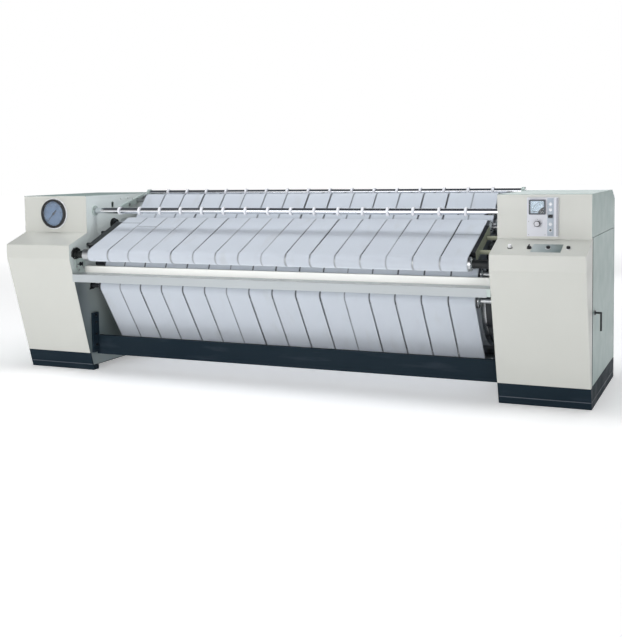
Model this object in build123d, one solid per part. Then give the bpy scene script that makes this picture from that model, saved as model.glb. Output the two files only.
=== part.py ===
from build123d import *
import os
from math import atan2, cos, degrees, hypot, pi, radians, sin, sqrt

# A roller ironer for flat linen: two end cabinets carry a heated cylinder, seven belt rollers with
# sixteen ironing belts, a feed conveyor in front of the nip and a delivery tray below it.
# Millimetres. While it is built, X runs across the machine with 0 at its middle, Y runs to the rear
# with 0 at the upper front faces of the cabinets, and Z is the height over the floor.
# At the end everything moves along Y, so that the origin is the middle of the footprint.

# ---------------------------------------------------------------- cabinets
machine_width = 4170.0
cabinet_width = 563.0
nose_reach = 219.0              # how far the nose stands in front of the upper face
shelf_drop = 272.0              # top of the cabinet to the rear edge of the sloping shelf
shelf_fall = 77.0               # fall of the shelf over the nose's reach
nose_band = 98.0                # height of the upright band under the shelf
toe_setback = 32.0              # front of the foot, behind the upper front face
plinth_height = 135.0
top_room = 12.0                 # top roller's bearing to the top of the cabinet
rear_room = 78.9                # belts at the rear roller to the cabinet's rear face
chamfer_run = 135.0             # chamfer between the top and the rear face
chamfer_drop = 60.0
hood_side = 260.0               # height of the top cover's outer side
cover_wall = 2.0
cover_flange = 15.0
bend_radius = 6.0               # inside radius of the front cover's folds
seam = 3.0                      # open joint between neighbouring covers
cut_length = 40.0               # length of a tool that cuts a hole through a sheet

# ---------------------------------------------------------------- end plates, plinths and beams
end_plate_wall = 10.0
end_plate_ground_gap = 40.0
lip_gap = 0.5                   # end plate to the plinth's lip in front of it
plinth_wall = 5.0
plinth_lip = 12.0
foot_height = 32.0
front_foot_depth = 64.0
rear_foot_depth = 100.0
side_rail_width = 60.0           # foot rail along the cabinet's outer side
beam_front_y = 85.0
beam_drop = 19.0                # top of the plinth to the beams' underside
beam_height = 140.0
beam_depth = 40.0
beam_wall = 6.0
rear_beam_inset = 12.0          # rear face of the rear beam, in front of the cabinets' rear faces
post_front_y = 20.0
post_depth = 72.0
post_length = 295.0             # over the plinth
post_wall = 16.0

# ---------------------------------------------------------------- side doors
door_front_y = 34.0
door_rear_margin = 40.0
door_depth = 20.0
door_wall = 2.0
door_bottom_gap = 5.0
door_rear_gap = 6.0
pivot_inset = 10.0
pivot_radius = 5.0
pivot_length = 12.0
pivot_collar_radius = 8.0
pivot_play = 0.4
running_fit = 0.05              # radial clearance of every shaft and pin
handle_y = 122.0
handle_lift = 444.0             # over the plinth
handle_spindle_radius = 6.0
handle_boss_radius = 14.0
handle_boss_height = 8.0
handle_reach = 39.0
handle_drop = 110.0
handle_cam_length = 30.0
handle_cam_wall = 4.0
free_gap = 0.3                  # between neighbours that move past each other

# ---------------------------------------------------------------- heated cylinder
cylinder_radius = 375.0
cylinder_wall = 12.0
cylinder_y = 510.0
cylinder_end_gap = 47.0
cylinder_head_wall = 20.0
journal_radius = 55.0
journal_reach = 138.0           # journal beyond the inner face of the cabinet
journal_plate_play = 12.0
journal_spigot_radius = 30.0
journal_spigot_length = 60.0
journal_housing_size = 190.0
journal_housing_depth = 56.0
journal_housing_corner = 32.0

# ---------------------------------------------------------------- belts and their rollers
belt_count = 16
belt_gap = 4.8
feed_belt_inset = 34.0           # the feed belts' row starts further in at the left
belt_wall = 3.0
belt_play = 0.4                 # between a belt and what it runs on
belt_margin_left = 108.0        # left cabinet to the first belt
belt_margin_right = 138.0
roller_overhang = 15.0          # roller beyond the outermost belts
roller_wall = 5.0
nip_roller_radius = 43.0
nip_angle = 90.0                # seen from the right: 0 points to the rear, 90 up, 180 to the front
linen_room = 2.0                # between the belts and the cylinder at the nip and the exit
exit_roller_radius = 40.0
exit_angle = 160.6
front_roller_radius = 48.0
front_roller_standoff = 90.5    # from the cylinder's wall to the roller's axis
front_roller_angle = 182.5
lower_front_radius = 45.0
lower_front_standoff = 128.0
lower_front_angle = 250.8
lower_clearance = 2.0           # plinth to the bearings of the lower front roller
lower_rear_radius = 45.0
lower_rear_standoff = 239.6
lower_rear_angle = 309.4
rear_roller_radius = 43.0
rear_roller_standoff = 213.4
rear_roller_angle = 40.9
top_roller_radius = 43.0
top_roller_standoff = 235.8
top_roller_angle = 75.0
shaft_radius = 15.0
shaft_plate_play = 3.0
bearing_wall = 20.0
bearing_depth = 28.0
bearing_flange_wall = 8.0
bearing_flange_rim = 8.0

# ---------------------------------------------------------------- feed conveyor
feed_roller_radius = 44.0
feed_front_shaft_radius = 22.0
feed_bearing_wall = 9.0          # slimmer bearings carry the front feed roller
feed_bearing_rim = 6.0
feed_rear_standoff = 80.0       # from the cylinder's wall to the rear feed roller's axis
feed_rear_angle = 111.9
feed_length = 527.0
feed_slope = 21.6
bed_end_gap = 24.0
bed_wall = 3.0
bed_skirt = 34.0
bed_overhang = 28.0
bed_rib_count = 5
bed_bar_radius = 13.0
bed_bar_inset = 95.0
bed_rib_under = 6.0             # the ribs reach this far below the bars

# ---------------------------------------------------------------- delivery tray
tray_lift = 85.0                # over the cylinder's axis
tray_front_height = 54.0
tray_wall = 2.0
tray_lip = 13.0
tray_front_gap = 2.3            # between the tray's front and the cabinets' front covers, at its top
tray_right_gap = 23.0
riser_front_y = -35.0
riser_depth = 40.0
riser_height = 47.0
riser_wall = 3.0
tray_bracket_depth = 44.0
tray_bracket_width = 42.0

# ---------------------------------------------------------------- divider rods
front_rod_radius = 21.0
front_rod_y = 107.0
front_rod_drop = 113.0
rear_rod_radius = 20.0
rear_rod_inset = 240.0          # cabinet's rear face to the rear rod
rear_rod_drop = 3.0
ring_wall = 8.0
ring_width = 22.0
ring_play = 0.1
rod_flange_rim = 16.0
rod_flange_depth = 8.0
rod_bracket_rim = 8.0
rod_bracket_length = 24.0
rod_bracket_drop = 75.0

# ---------------------------------------------------------------- fittings on the end plates
tension_disc_radius = 60.0
tension_disc_wall = 7.0
tension_disc_offset = (50.0, -75.0)
disc_play = 1.0
stay_bar_angle = 14.2
stay_bar_forward = 245.0        # along the bar, from the top roller's shaft
stay_bar_rearward = 105.0
stay_bar_width = 44.0
stay_bar_wall = 8.0
stay_bar_play = 1.0
plate_slot_y = 338.0
plate_slot_drop = 78.0
plate_slot_width = 35.0
plate_slot_height = 50.0
plate_bolt_radius = 7.0
plate_bolts = ((445.0, 38.0), (535.0, 35.0), (607.0, 44.0))

# ---------------------------------------------------------------- rear guard
guard_wall = 2.0
guard_inset = 10.0
guard_top_drop = 62.0
guard_flange = 60.0
vent_count = 30
vent_rows = 2
vent_width = 12.0
vent_height = 120.0
vent_row_pitch = 300.0
cabinet_vent_count = 8
cabinet_vent_pitch = 45.0
cabinet_vent_drop = 260.0

# ---------------------------------------------------------------- drive, in the right cabinet
sprocket_wall = 11.0
sprocket_hub_wall = 27.5
drive_pitch = 25.4
drive_teeth = 15
cylinder_teeth = 49
feed_pitch = 12.7
feed_teeth = 12
feed_cylinder_teeth = 96
tooth_root = 0.32               # tooth and chain sizes, as shares of the chain's pitch
tooth_tip = 0.26
tooth_foot = 0.36               # half widths of a tooth, as shares of the angle between teeth
tooth_crest = 0.12
link_half_height = 0.3
link_wall = 0.09
link_pin = 0.2
link_clear = 0.55
link_play = 0.5                 # between link plates and the flat sides of the sprockets
drive_row_reach = 96.0          # from the cabinet's inner face to the middle of the drive sprockets
feed_row_reach = 124.0
drive_shaft_radius = 17.5
drive_shaft_y = 560.0
drive_shaft_lift = 165.0        # over the plinth
gearbox_width = 160.0
gearbox_depth = 200.0
gearbox_height = 250.0
gearbox_bore_depth = 70.0
gearbox_gap = 42.0              # from the middle of the drive sprocket to the gearbox
gearbox_corner = 20.0
gearbox_foot_reach = 20.0
gearbox_foot_wall = 14.0
motor_radius = 82.0
motor_length = 270.0
motor_flange_radius = 100.0
motor_flange_wall = 14.0
motor_lift = 118.0
terminal_box = (82.0, 95.0, 40.0)
terminal_box_start = 81.0
electric_box = (280.0, 170.0, 420.0)
electric_box_corner = 6.0
electric_box_y = 60.0
electric_box_side_gap = 60.0

# ---------------------------------------------------------------- steam, in the left cabinet
rotary_body_radius = 48.0
rotary_body_length = 110.0
rotary_gap = 12.0               # from the journal's shoulder to the rotary joint
steam_pipe_radius = 17.0
steam_pipe_run = 110.0          # sideways from the rotary joint
drain_pipe_radius = 13.5
drain_pipe_lift = 125.0         # over the plinth
pipe_bend = 70.0
spigot_step = 0.8               # the threaded end is this much slimmer than its pipe
spigot_length = 30.0
pipe_hole_play = 3.0
gauge_line_radius = 6.0
gauge_line_bend = 40.0
gauge_line_y = 640.0

# ---------------------------------------------------------------- pressure gauge, left cabinet
gauge_side_inset = 276.0        # from the machine's outer side
gauge_drop = 132.0
gauge_flange_radius = 116.0
gauge_flange_wall = 5.0
gauge_bezel_radius = 107.0
gauge_dial_radius = 91.0
gauge_bezel_height = 22.0
gauge_dial_height = 8.0
gauge_body_radius = 80.0
gauge_body_depth = 60.0
needle_pin_radius = 3.0
needle_lift = 3.0
needle_wall = 1.5
needle_length = 76.0
needle_tail = 34.0
needle_half_widths = (4.5, 2.6, 0.6)    # at the tail, the pin and the tip
needle_hub_radius = 7.2
needle_rest_angle = 225.0

# ---------------------------------------------------------------- control panel, right cabinet
panel_inset = 183.0             # from the cabinet's inner face
panel_width = 185.0
panel_height = 234.0
panel_drop = 20.0
panel_depth = 12.0
panel_corner = 3.0
meter_inset = 14.0
meter_width = 96.0
meter_height = 88.0
meter_depth = 16.0
meter_rim = 7.0
meter_corner_radius = 4.0
meter_recess = 10.0
meter_pivot_inset = 18.0
meter_needle_length = 58.0
meter_needle_wall = 1.0
meter_needle_width = 1.6
meter_hub_radius = 6.0
knob_inset = 63.0
knob_drop = 158.0               # from the panel's top
knob_radius = 18.0
knob_height = 20.0
knob_chamfer = 2.0
knob_groove_count = 12
knob_groove_radius = 1.6
knob_groove_start = 3.0
knob_line_width = 1.6
knob_line_start = 4.0
knob_spindle_radius = 3.0
knob_floor = 2.0                # panel left behind the spindle's bore
strip_inset = 140.0
lamp_drops = (40.0, 73.0, 160.0)
lamp_radius = 7.5
lamp_height = 5.0
lamp_dome = 3.0
rocker_drop = 113.0
rocker_size = (26.0, 10.0, 18.0)
rocker_corner = 4.0
rocker_tilt = 8.0               # at each of its two positions
rocker_proud = 3.5              # in front of the panel, when level
rocker_pocket_play = 1.3
rocker_pocket_depth = 11.0
reset_drop = 196.0
reset_radius = 6.0
reset_height = 6.0
reset_chamfer = 1.0
reset_travel = 3.0

# ---------------------------------------------------------------- controls on the sloping shelf
shelf_control_insets = (105.0, 219.0, 331.0, 447.0)    # from the cabinet's inner face
shelf_control_y = -125.0
push_radius = 11.5
push_height = 11.0
push_dome = 3.0
start_height = 18.0
start_dome = 6.0
push_stem_radius = 8.0
push_travel = 4.0
selector_radius = 12.5
selector_height = 10.0
selector_blade = (22.0, 8.0, 11.0)
selector_point = 3.0
selector_spindle_radius = 5.0

# ---------------------------------------------------------------- worked out
# The plinth carries the lower rollers, these set the cylinder, and the cylinder sets the cabinet's top.
bearing_rim = shaft_radius + bearing_wall + bearing_flange_rim
lower_front_drop = -(cylinder_radius + lower_front_standoff) * sin(radians(lower_front_angle))
cylinder_height = plinth_height + lower_clearance + bearing_rim + lower_front_drop
top_roller_lift = (cylinder_radius + top_roller_standoff) * sin(radians(top_roller_angle))
cabinet_height = cylinder_height + top_roller_lift + bearing_rim + top_room
rear_roller_reach = (cylinder_radius + rear_roller_standoff) * cos(radians(rear_roller_angle))
rear_belts_y = cylinder_y + rear_roller_reach + rear_roller_radius + belt_play + belt_wall
cabinet_depth = rear_belts_y + rear_room                 # upper front face to rear face
top_flat = cabinet_depth - chamfer_run
tray_top = cylinder_height + tray_lift
rear_rod_y = cabinet_depth - rear_rod_inset
beam_bottom = plinth_height - beam_drop
post_top = plinth_height + post_length
half_width = machine_width / 2
inner_face = half_width - cabinet_width
shelf_top = cabinet_height - shelf_drop
nose_top = shelf_top - shelf_fall
nose_bottom = nose_top - nose_band
hood_bottom = cabinet_height - hood_side
door_top = hood_bottom - seam
door_bottom = plinth_height + door_bottom_gap
handle_height = plinth_height + handle_lift
drain_pipe_height = plinth_height + drain_pipe_lift
door_rear_y = cabinet_depth - door_rear_margin
belt_field = 2 * inner_face - belt_margin_left - belt_margin_right
belt_pitch = (belt_field + belt_gap) / belt_count
feed_belt_pitch = (belt_field - feed_belt_inset + belt_gap) / belt_count
belt_left = -inner_face + belt_margin_left
belt_right = inner_face - belt_margin_right
outer_shaft_end = inner_face + end_plate_wall + bearing_depth
panel_left = inner_face + panel_inset
panel_top = cabinet_height - panel_drop
strip_x = panel_left + strip_inset
shelf_slope = atan2(shelf_fall, nose_reach)
front_lean = (nose_reach + toe_setback) / nose_bottom    # the slanting front's run per rise
cover_slant = hypot(1, front_lean)                       # a sheet's level thickness over its wall


# ---------------------------------------------------------------- helpers
def slab(points, low_x, high_x):
    """A solid between two X values with an outline of (y, z) points."""
    outline = Plane.YZ.offset(low_x) * make_face(Polyline(*points, close=True))
    return extrude(outline, high_x - low_x, dir=(1, 0, 0))


def block(low_x, high_x, low_y, high_y, low_z, high_z):
    middle = ((low_x + high_x) / 2, (low_y + high_y) / 2, (low_z + high_z) / 2)
    return Pos(*middle) * Box(high_x - low_x, high_y - low_y, high_z - low_z)


def round_x(radius, low_x, high_x, y, z):
    """A round bar along X."""
    return Pos((low_x + high_x) / 2, y, z) * Rot(0, 90, 0) * Cylinder(radius, high_x - low_x)


def round_y(radius, low_y, high_y, x, z):
    """A round bar along Y."""
    return Pos(x, (low_y + high_y) / 2, z) * Rot(90, 0, 0) * Cylinder(radius, high_y - low_y)


def round_z(radius, low_z, high_z, x, y):
    return Pos(x, y, (low_z + high_z) / 2) * Cylinder(radius, high_z - low_z)


def inner_line(points, wall):
    """The line at one wall's distance to the left of an open line, with mitred corners."""
    normals = []
    for (y1, z1), (y2, z2) in zip(points, points[1:]):
        length = hypot(y2 - y1, z2 - z1)
        normals.append((-(z2 - z1) / length, (y2 - y1) / length))
    before = [normals[0]] + normals
    after = normals + [normals[-1]]
    shifted = []
    for (y, z), (ay, az), (by, bz) in zip(points, before, after):
        stretch = wall / (1 + ay * by + az * bz)
        shifted.append((y + (ay + by) * stretch, z + (az + bz) * stretch))
    return shifted


def folded(points, wall, low_x, high_x):
    """A folded sheet whose outside follows the (y, z) points, with its wall on their left."""
    return slab(points + inner_line(points, wall)[::-1], low_x, high_x)


def soften(solid, corners, radius):
    """Rounds the edges along X that stand at the given (y, z) corners."""
    chosen = []
    for edge in solid.edges().filter_by(Axis.X):
        middle = edge.center()
        if any(hypot(middle.Y - y, middle.Z - z) < 0.01 for y, z in corners):
            chosen.append(edge)
    return fillet(chosen, radius)


def both_sides(solid, side):
    """The right-hand piece as it is, or its mirror image for the left side."""
    return solid if side > 0 else mirror(solid, about=Plane.YZ)


def around_cylinder(standoff, angle):
    """The (y, z) point at a standoff from the cylinder's wall."""
    reach = cylinder_radius + standoff
    return (cylinder_y + reach * cos(radians(angle)), cylinder_height + reach * sin(radians(angle)))


def straight_run(first, second):
    """Start and end of the straight line that touches two circles given as (y, z, radius)."""
    (y1, z1, r1), (y2, z2, r2) = first, second
    span = hypot(y2 - y1, z2 - z1)
    along = ((y2 - y1) / span, (z2 - z1) / span)
    lean = (r2 - r1) / span
    rise = sqrt(1 - lean * lean)
    normal = (lean * along[0] - rise * along[1], lean * along[1] + rise * along[0])
    return (y1 - r1 * normal[0], z1 - r1 * normal[1]), (y2 - r2 * normal[0], z2 - r2 * normal[1])


def loop_face(stops):
    """The area inside a line drawn tight round circles given as (y, z, radius).

    A negative radius means that the line bends the other way there.
    """
    runs = [straight_run(first, second) for first, second in zip(stops, stops[1:] + stops[:1])]
    edges = []
    for (y, z, radius), arriving, leaving in zip(stops, runs[-1:] + runs[:-1], runs):
        first = atan2(arriving[1][1] - z, arriving[1][0] - y)
        last = atan2(leaving[0][1] - z, leaving[0][0] - y)
        turn = (last - first) % (2 * pi) if radius > 0 else -((first - last) % (2 * pi))
        reach = abs(radius)
        middle = (y + reach * cos(first + turn / 2), z + reach * sin(first + turn / 2))
        edges.append(ThreePointArc(arriving[1], middle, leaving[0]))
        edges.append(Line(*leaving))
    return make_face(edges)


def belt_face(rollers):
    """A belt's section: each roller is (y, z, radius), with a negative radius for the cylinder."""
    near = [(y, z, r + belt_play if r > 0 else r - belt_play - belt_wall) for y, z, r in rollers]
    far = [(y, z, r + belt_play + belt_wall if r > 0 else r - belt_play) for y, z, r in rollers]
    return Plane.YZ * (loop_face(far) - loop_face(near))


def belts(rollers, left, pitch):
    """A row of belts side by side; the first one's edge is at left."""
    section = belt_face(rollers)
    group = []
    for index in range(belt_count):
        group.append(extrude(Pos(left + index * pitch, 0, 0) * section, pitch - belt_gap, dir=(1, 0, 0)))
    return group


# ---------------------------------------------------------------- where the rollers stand
belt_stack = 2 * belt_play + belt_wall
nip_place = around_cylinder(belt_stack + linen_room + nip_roller_radius, nip_angle)
exit_place = around_cylinder(belt_stack + linen_room + exit_roller_radius, exit_angle)
front_place = around_cylinder(front_roller_standoff, front_roller_angle)
lower_front_place = around_cylinder(lower_front_standoff, lower_front_angle)
lower_rear_place = around_cylinder(lower_rear_standoff, lower_rear_angle)
rear_place = around_cylinder(rear_roller_standoff, rear_roller_angle)
top_place = around_cylinder(top_roller_standoff, top_roller_angle)
feed_rear_place = around_cylinder(feed_rear_standoff, feed_rear_angle)
feed_front_place = (
    feed_rear_place[0] - feed_length * cos(radians(feed_slope)),
    feed_rear_place[1] - feed_length * sin(radians(feed_slope)),
)
belt_rollers = {
    "nip_roller": (nip_place, nip_roller_radius),
    "exit_roller": (exit_place, exit_roller_radius),
    "front_return_roller": (front_place, front_roller_radius),
    "lower_front_roller": (lower_front_place, lower_front_radius),
    "lower_rear_roller": (lower_rear_place, lower_rear_radius),
    "rear_return_roller": (rear_place, rear_roller_radius),
    "top_return_roller": (top_place, top_roller_radius),
}


# ---------------------------------------------------------------- frame
def front_line(height):
    """Y of the slanting front at a height below the nose."""
    return toe_setback - front_lean * height


def cabinet_profile():
    """The outside line of a cabinet's front, from the top down to the plinth."""
    return [
        (0, cabinet_height - cover_wall),
        (0, shelf_top),
        (-nose_reach, nose_top),
        (-nose_reach, nose_bottom),
        (front_line(plinth_height), plinth_height),
    ]


def base(side):
    """Welded plinth: a closed box section on three foot rails, with a lip in front of the end plate."""
    low, high = inner_face + end_plate_wall, half_width
    outline = [
        (front_line(foot_height), foot_height),
        (front_line(plinth_height), plinth_height),
        (cabinet_depth, plinth_height),
        (cabinet_depth, foot_height),
    ]
    inside = inner_line(outline + outline[:2], -plinth_wall)[1:5]
    plinth = slab(outline, low, high) - slab(inside, low + plinth_wall, high - plinth_wall)
    lip = slab(
        [
            (front_line(foot_height), foot_height),
            (front_line(plinth_height), plinth_height),
            (front_line(plinth_height) + plinth_lip, plinth_height),
            (front_line(foot_height) + plinth_lip, foot_height),
        ],
        inner_face,
        low,
    )
    front_foot = slab(
        [
            (toe_setback, 0),
            (front_line(foot_height), foot_height),
            (toe_setback + front_foot_depth, foot_height),
            (toe_setback + front_foot_depth, 0),
        ],
        inner_face,
        high,
    )
    rear_foot = block(low, high, cabinet_depth - rear_foot_depth, cabinet_depth, 0, foot_height)
    side_rail = block(high - side_rail_width, high, toe_setback + front_foot_depth, cabinet_depth, 0, foot_height)
    return both_sides(plinth + lip + front_foot + rear_foot + side_rail, side)


def plate_blank():
    """The right-hand end plate without its holes; its front edge carries the front cover."""
    front = inner_line(cabinet_profile(), cover_wall)
    front[0] = (cover_wall, cabinet_height - cover_wall)
    behind_lip = plinth_lip + lip_gap
    outline = front[:-1] + [
        (front_line(plinth_height) + cover_wall * cover_slant, plinth_height),
        (front_line(plinth_height) + behind_lip, plinth_height),
        (front_line(end_plate_ground_gap) + behind_lip, end_plate_ground_gap),
        (cabinet_depth - cover_wall, end_plate_ground_gap),
        (cabinet_depth - cover_wall, cabinet_height - chamfer_drop - cover_wall),
        (top_flat - cover_wall / 2, cabinet_height - cover_wall),
    ]
    return soften(slab(outline, inner_face, inner_face + end_plate_wall), front[2:4], bend_radius)


def end_plate(side):
    """Thick inner plate of a cabinet, with holes for the shafts and the cylinder's journal."""
    through = (inner_face - 1, inner_face + end_plate_wall + 1)
    cuts = [round_x(journal_radius + journal_plate_play, *through, cylinder_y, cylinder_height)]
    for place, radius in belt_rollers.values():
        cuts.append(round_x(shaft_radius + shaft_plate_play, *through, *place))
    cuts.append(round_x(feed_front_shaft_radius + shaft_plate_play, *through, *feed_front_place))
    cuts.append(round_x(shaft_radius + shaft_plate_play, *through, *feed_rear_place))
    slot_z = cabinet_height - plate_slot_drop
    slot_half = (plate_slot_height - plate_slot_width) / 2
    for lift in (-slot_half, slot_half):
        cuts.append(round_x(plate_slot_width / 2, *through, plate_slot_y, slot_z + lift))
    half = plate_slot_width / 2
    cuts.append(
        block(*through, plate_slot_y - half, plate_slot_y + half, slot_z - slot_half, slot_z + slot_half)
    )
    for y, drop in plate_bolts:
        cuts.append(round_x(plate_bolt_radius, *through, y, cabinet_height - drop))
    return both_sides(plate_blank() - cuts, side)


def cross_beam(low_y, high_y, open_to_rear):
    """A channel between the end plates; its web faces away from the belts."""
    top = beam_bottom + beam_height
    whole = block(-inner_face, inner_face, low_y, high_y, beam_bottom, top)
    web_low = low_y + beam_wall if open_to_rear else low_y - 1
    web_high = high_y + 1 if open_to_rear else high_y - beam_wall
    hollow = block(
        -inner_face + beam_wall,
        inner_face - beam_wall,
        web_low,
        web_high,
        beam_bottom + beam_wall,
        top - beam_wall,
    )
    return whole - hollow


def front_beam():
    """Front cross channel with an upright bolted-on post at each end plate."""
    beam = cross_beam(beam_front_y, beam_front_y + beam_depth, True)
    for side in (-1, 1):
        post = block(
            inner_face - post_wall,
            inner_face,
            post_front_y,
            post_front_y + post_depth,
            plinth_height,
            post_top,
        )
        beam += both_sides(post, side)
    return beam


def rear_beam():
    rear = cabinet_depth - rear_beam_inset
    return cross_beam(rear - beam_depth, rear, False)


# ---------------------------------------------------------------- covers
def shelf_control_place(index):
    """Centre of a control on the outside of the sloping shelf."""
    height = shelf_top + shelf_control_y * shelf_fall / nose_reach
    return (inner_face + shelf_control_insets[index], shelf_control_y, height)


def on_shelf(index, solid):
    """Puts a piece made upright at the origin onto the shelf, square to its sheet."""
    return Pos(*shelf_control_place(index)) * Rot(degrees(shelf_slope), 0, 0) * solid


def front_cover(side):
    """Folded front cover: upper face, sloping shelf, nose, slanting front and an outer return."""
    low, high = inner_face, half_width
    profile = cabinet_profile()
    line = (
        [(cover_flange, profile[0][1])]
        + profile
        + [(profile[-1][0] + cover_flange, plinth_height)]
    )
    cover = folded(line, cover_wall, low, high)
    inside = inner_line(line, cover_wall)
    cover = soften(cover, [line[2]] + inside[3:5], bend_radius)
    cover = soften(cover, [inside[2]] + line[3:5], bend_radius + cover_wall)
    cover -= block(high - cover_wall, high + 1, cover_wall, cover_flange + 1, hood_bottom, cabinet_height)
    cover -= plate_blank()
    rim = [
        (door_front_y - seam, plinth_height),
        (door_front_y - seam, door_top),
        (cover_wall / 2, door_top),
    ]
    middle_line = inner_line(profile, cover_wall / 2)
    cover += slab(rim + middle_line[1:-1] + [(profile[-1][0] + 1, plinth_height)], high - cover_wall, high)
    if side > 0:
        for index in (0, 2, 3):
            cover -= on_shelf(index, Cylinder(push_stem_radius + free_gap, cut_length))
        cover -= on_shelf(1, Cylinder(selector_spindle_radius + running_fit, cut_length))
        return cover
    gauge_x = half_width - gauge_side_inset
    half_cut = cut_length / 2
    cover -= round_y(gauge_body_radius, -half_cut, half_cut, gauge_x, cabinet_height - gauge_drop)
    return both_sides(cover, side)


def top_cover(side):
    """Hood: the top, its rear chamfer and the upper part of the outer side."""
    line = [(cabinet_depth, cabinet_height - chamfer_drop), (top_flat, cabinet_height), (0, cabinet_height)]
    hood = folded(line, cover_wall, inner_face, half_width)
    rear = cabinet_depth - cover_wall
    skirt = [
        (cover_wall, hood_bottom),
        (rear, hood_bottom),
        (rear, cabinet_height - chamfer_drop),
        (top_flat, cabinet_height - cover_wall / 2),
        (cover_wall, cabinet_height - cover_wall / 2),
    ]
    return both_sides(hood + slab(skirt, half_width - cover_wall, half_width), side)


def rear_cover(side):
    """Rear sheet of a cabinet with an outer return beside the door, air slots and pipe holes."""
    rear = cabinet_depth - cover_wall
    top = cabinet_height - chamfer_drop - cover_wall
    cover = block(inner_face, half_width, rear, cabinet_depth, plinth_height, top)
    door_edge = door_rear_y + door_rear_gap
    cover += block(half_width - cover_wall, half_width, door_edge, cabinet_depth, plinth_height, door_top)
    cuts = []
    middle = (inner_face + half_width) / 2
    for index in range(cabinet_vent_count):
        x = middle + (index - (cabinet_vent_count - 1) / 2) * cabinet_vent_pitch
        z = cabinet_height - cabinet_vent_drop
        cuts.append(
            block(
                x - vent_width / 2,
                x + vent_width / 2,
                rear - 1,
                cabinet_depth + 1,
                z - vent_height / 2,
                z + vent_height / 2,
            )
        )
    if side < 0:
        steam_x, drain_x = steam_pipe_x(), rotary_middle_x()
        hole = (rear - 1, cabinet_depth + 1)
        cuts.append(round_y(steam_pipe_radius + pipe_hole_play, *hole, steam_x, cylinder_height))
        cuts.append(round_y(drain_pipe_radius + pipe_hole_play, *hole, drain_x, drain_pipe_height))
    return both_sides(cover - cuts, side)


def rear_guard():
    """Sheet panel behind the belts, with a stiffening fold along its top and rows of air slots."""
    rear = cabinet_depth - guard_inset
    top = cabinet_height - guard_top_drop
    bottom = beam_bottom + beam_height
    line = [(rear, bottom), (rear, top), (rear - guard_flange, top)]
    guard = folded(line, guard_wall, -inner_face, inner_face)
    pitch = 2 * inner_face / vent_count
    middle = (bottom + top) / 2
    cuts = []
    for row in range(vent_rows):
        z = middle + (row - (vent_rows - 1) / 2) * vent_row_pitch
        for index in range(vent_count):
            x = -inner_face + (index + 0.5) * pitch
            cuts.append(
                block(
                    x - vent_width / 2,
                    x + vent_width / 2,
                    rear - 2 * guard_wall,
                    rear + guard_wall,
                    z - vent_height / 2,
                    z + vent_height / 2,
                )
            )
    return guard - cuts


# ---------------------------------------------------------------- side doors
def side_door(side):
    """Sheet door with a return all round; it turns on a pin at the top and bottom of its rear edge."""
    inside = half_width - door_depth
    door = block(inside, half_width, door_front_y, door_rear_y, door_bottom, door_top)
    door -= block(
        inside - 1,
        half_width - door_wall,
        door_front_y + door_wall,
        door_rear_y - door_wall,
        door_bottom + door_wall,
        door_top - door_wall,
    )
    pivot_x, pivot_y = half_width - pivot_inset, door_rear_y - pivot_inset
    bore = pivot_radius + running_fit
    door -= round_z(bore, door_bottom - 1, door_bottom + door_wall + 1, pivot_x, pivot_y)
    door -= round_z(bore, door_top - door_wall - 1, door_top + 1, pivot_x, pivot_y)
    spindle = handle_spindle_radius + running_fit
    door -= round_x(spindle, half_width - door_depth, half_width + 1, handle_y, handle_height)
    return both_sides(door, side)


def door_pivots():
    """Fixed pins: the lower stands on the plinth, the upper hangs from an angle on the rear cover."""
    pivot_x, pivot_y = half_width - pivot_inset, door_rear_y - pivot_inset
    collar_top = door_bottom - pivot_play
    lower = round_z(pivot_collar_radius, plinth_height, collar_top, pivot_x, pivot_y)
    lower += round_z(pivot_radius, plinth_height, door_bottom + pivot_length, pivot_x, pivot_y)
    shelf_low = door_top + pivot_play
    upper = block(
        pivot_x - pivot_collar_radius,
        half_width - cover_wall,
        pivot_y - pivot_collar_radius,
        cabinet_depth - cover_wall,
        shelf_low,
        shelf_low + 2 * door_wall,
    )
    upper += round_z(pivot_radius, door_top - pivot_length, shelf_low + door_wall, pivot_x, pivot_y)
    return [both_sides(piece, side) for side in (-1, 1) for piece in (lower, upper)]


def door_handle(side):
    """Cranked handle: boss, stem, hanging grip, and the cam that its spindle carries inside."""
    y, z = handle_y, handle_height
    tip = half_width + handle_reach
    boss = round_x(handle_boss_radius, half_width + free_gap, half_width + handle_boss_height, y, z)
    cam_high = half_width - door_wall - handle_cam_wall
    cam_low = cam_high - handle_cam_wall
    stem = round_x(handle_spindle_radius, cam_low, tip, y, z)
    corner = Pos(tip, y, z) * Sphere(handle_spindle_radius)
    grip = round_z(handle_spindle_radius, z - handle_drop, z, tip, y)
    half = handle_boss_radius / 2
    cam = block(cam_low, cam_high, y - half, y + half, z - handle_cam_length, z + half)
    return both_sides(boss + stem + corner + grip + cam, side)


# ---------------------------------------------------------------- cylinder, rollers and belts
def ironing_cylinder():
    """Steam-heated shell with welded heads and a journal at each end."""
    end = inner_face - cylinder_end_gap
    drum = round_x(cylinder_radius, -end, end, cylinder_y, cylinder_height)
    reach = inner_face + journal_reach
    drum += round_x(journal_radius, -reach, reach, cylinder_y, cylinder_height)
    spigot_end = -reach - journal_spigot_length
    drum += round_x(journal_spigot_radius, spigot_end, -reach, cylinder_y, cylinder_height)
    inside = end - cylinder_head_wall
    bore = cylinder_radius - cylinder_wall
    return drum - round_x(bore, -inside, inside, cylinder_y, cylinder_height)


def roller(place, radius, axle_radius, right_end):
    """Tubular roller with closed ends and a shaft through both end plates."""
    low, high = belt_left - roller_overhang, belt_right + roller_overhang
    body = round_x(radius, low, high, *place)
    body += round_x(axle_radius, -outer_shaft_end, right_end, *place)
    inside = round_x(radius - roller_wall, low + roller_wall, high - roller_wall, *place)
    return body - inside


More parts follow.
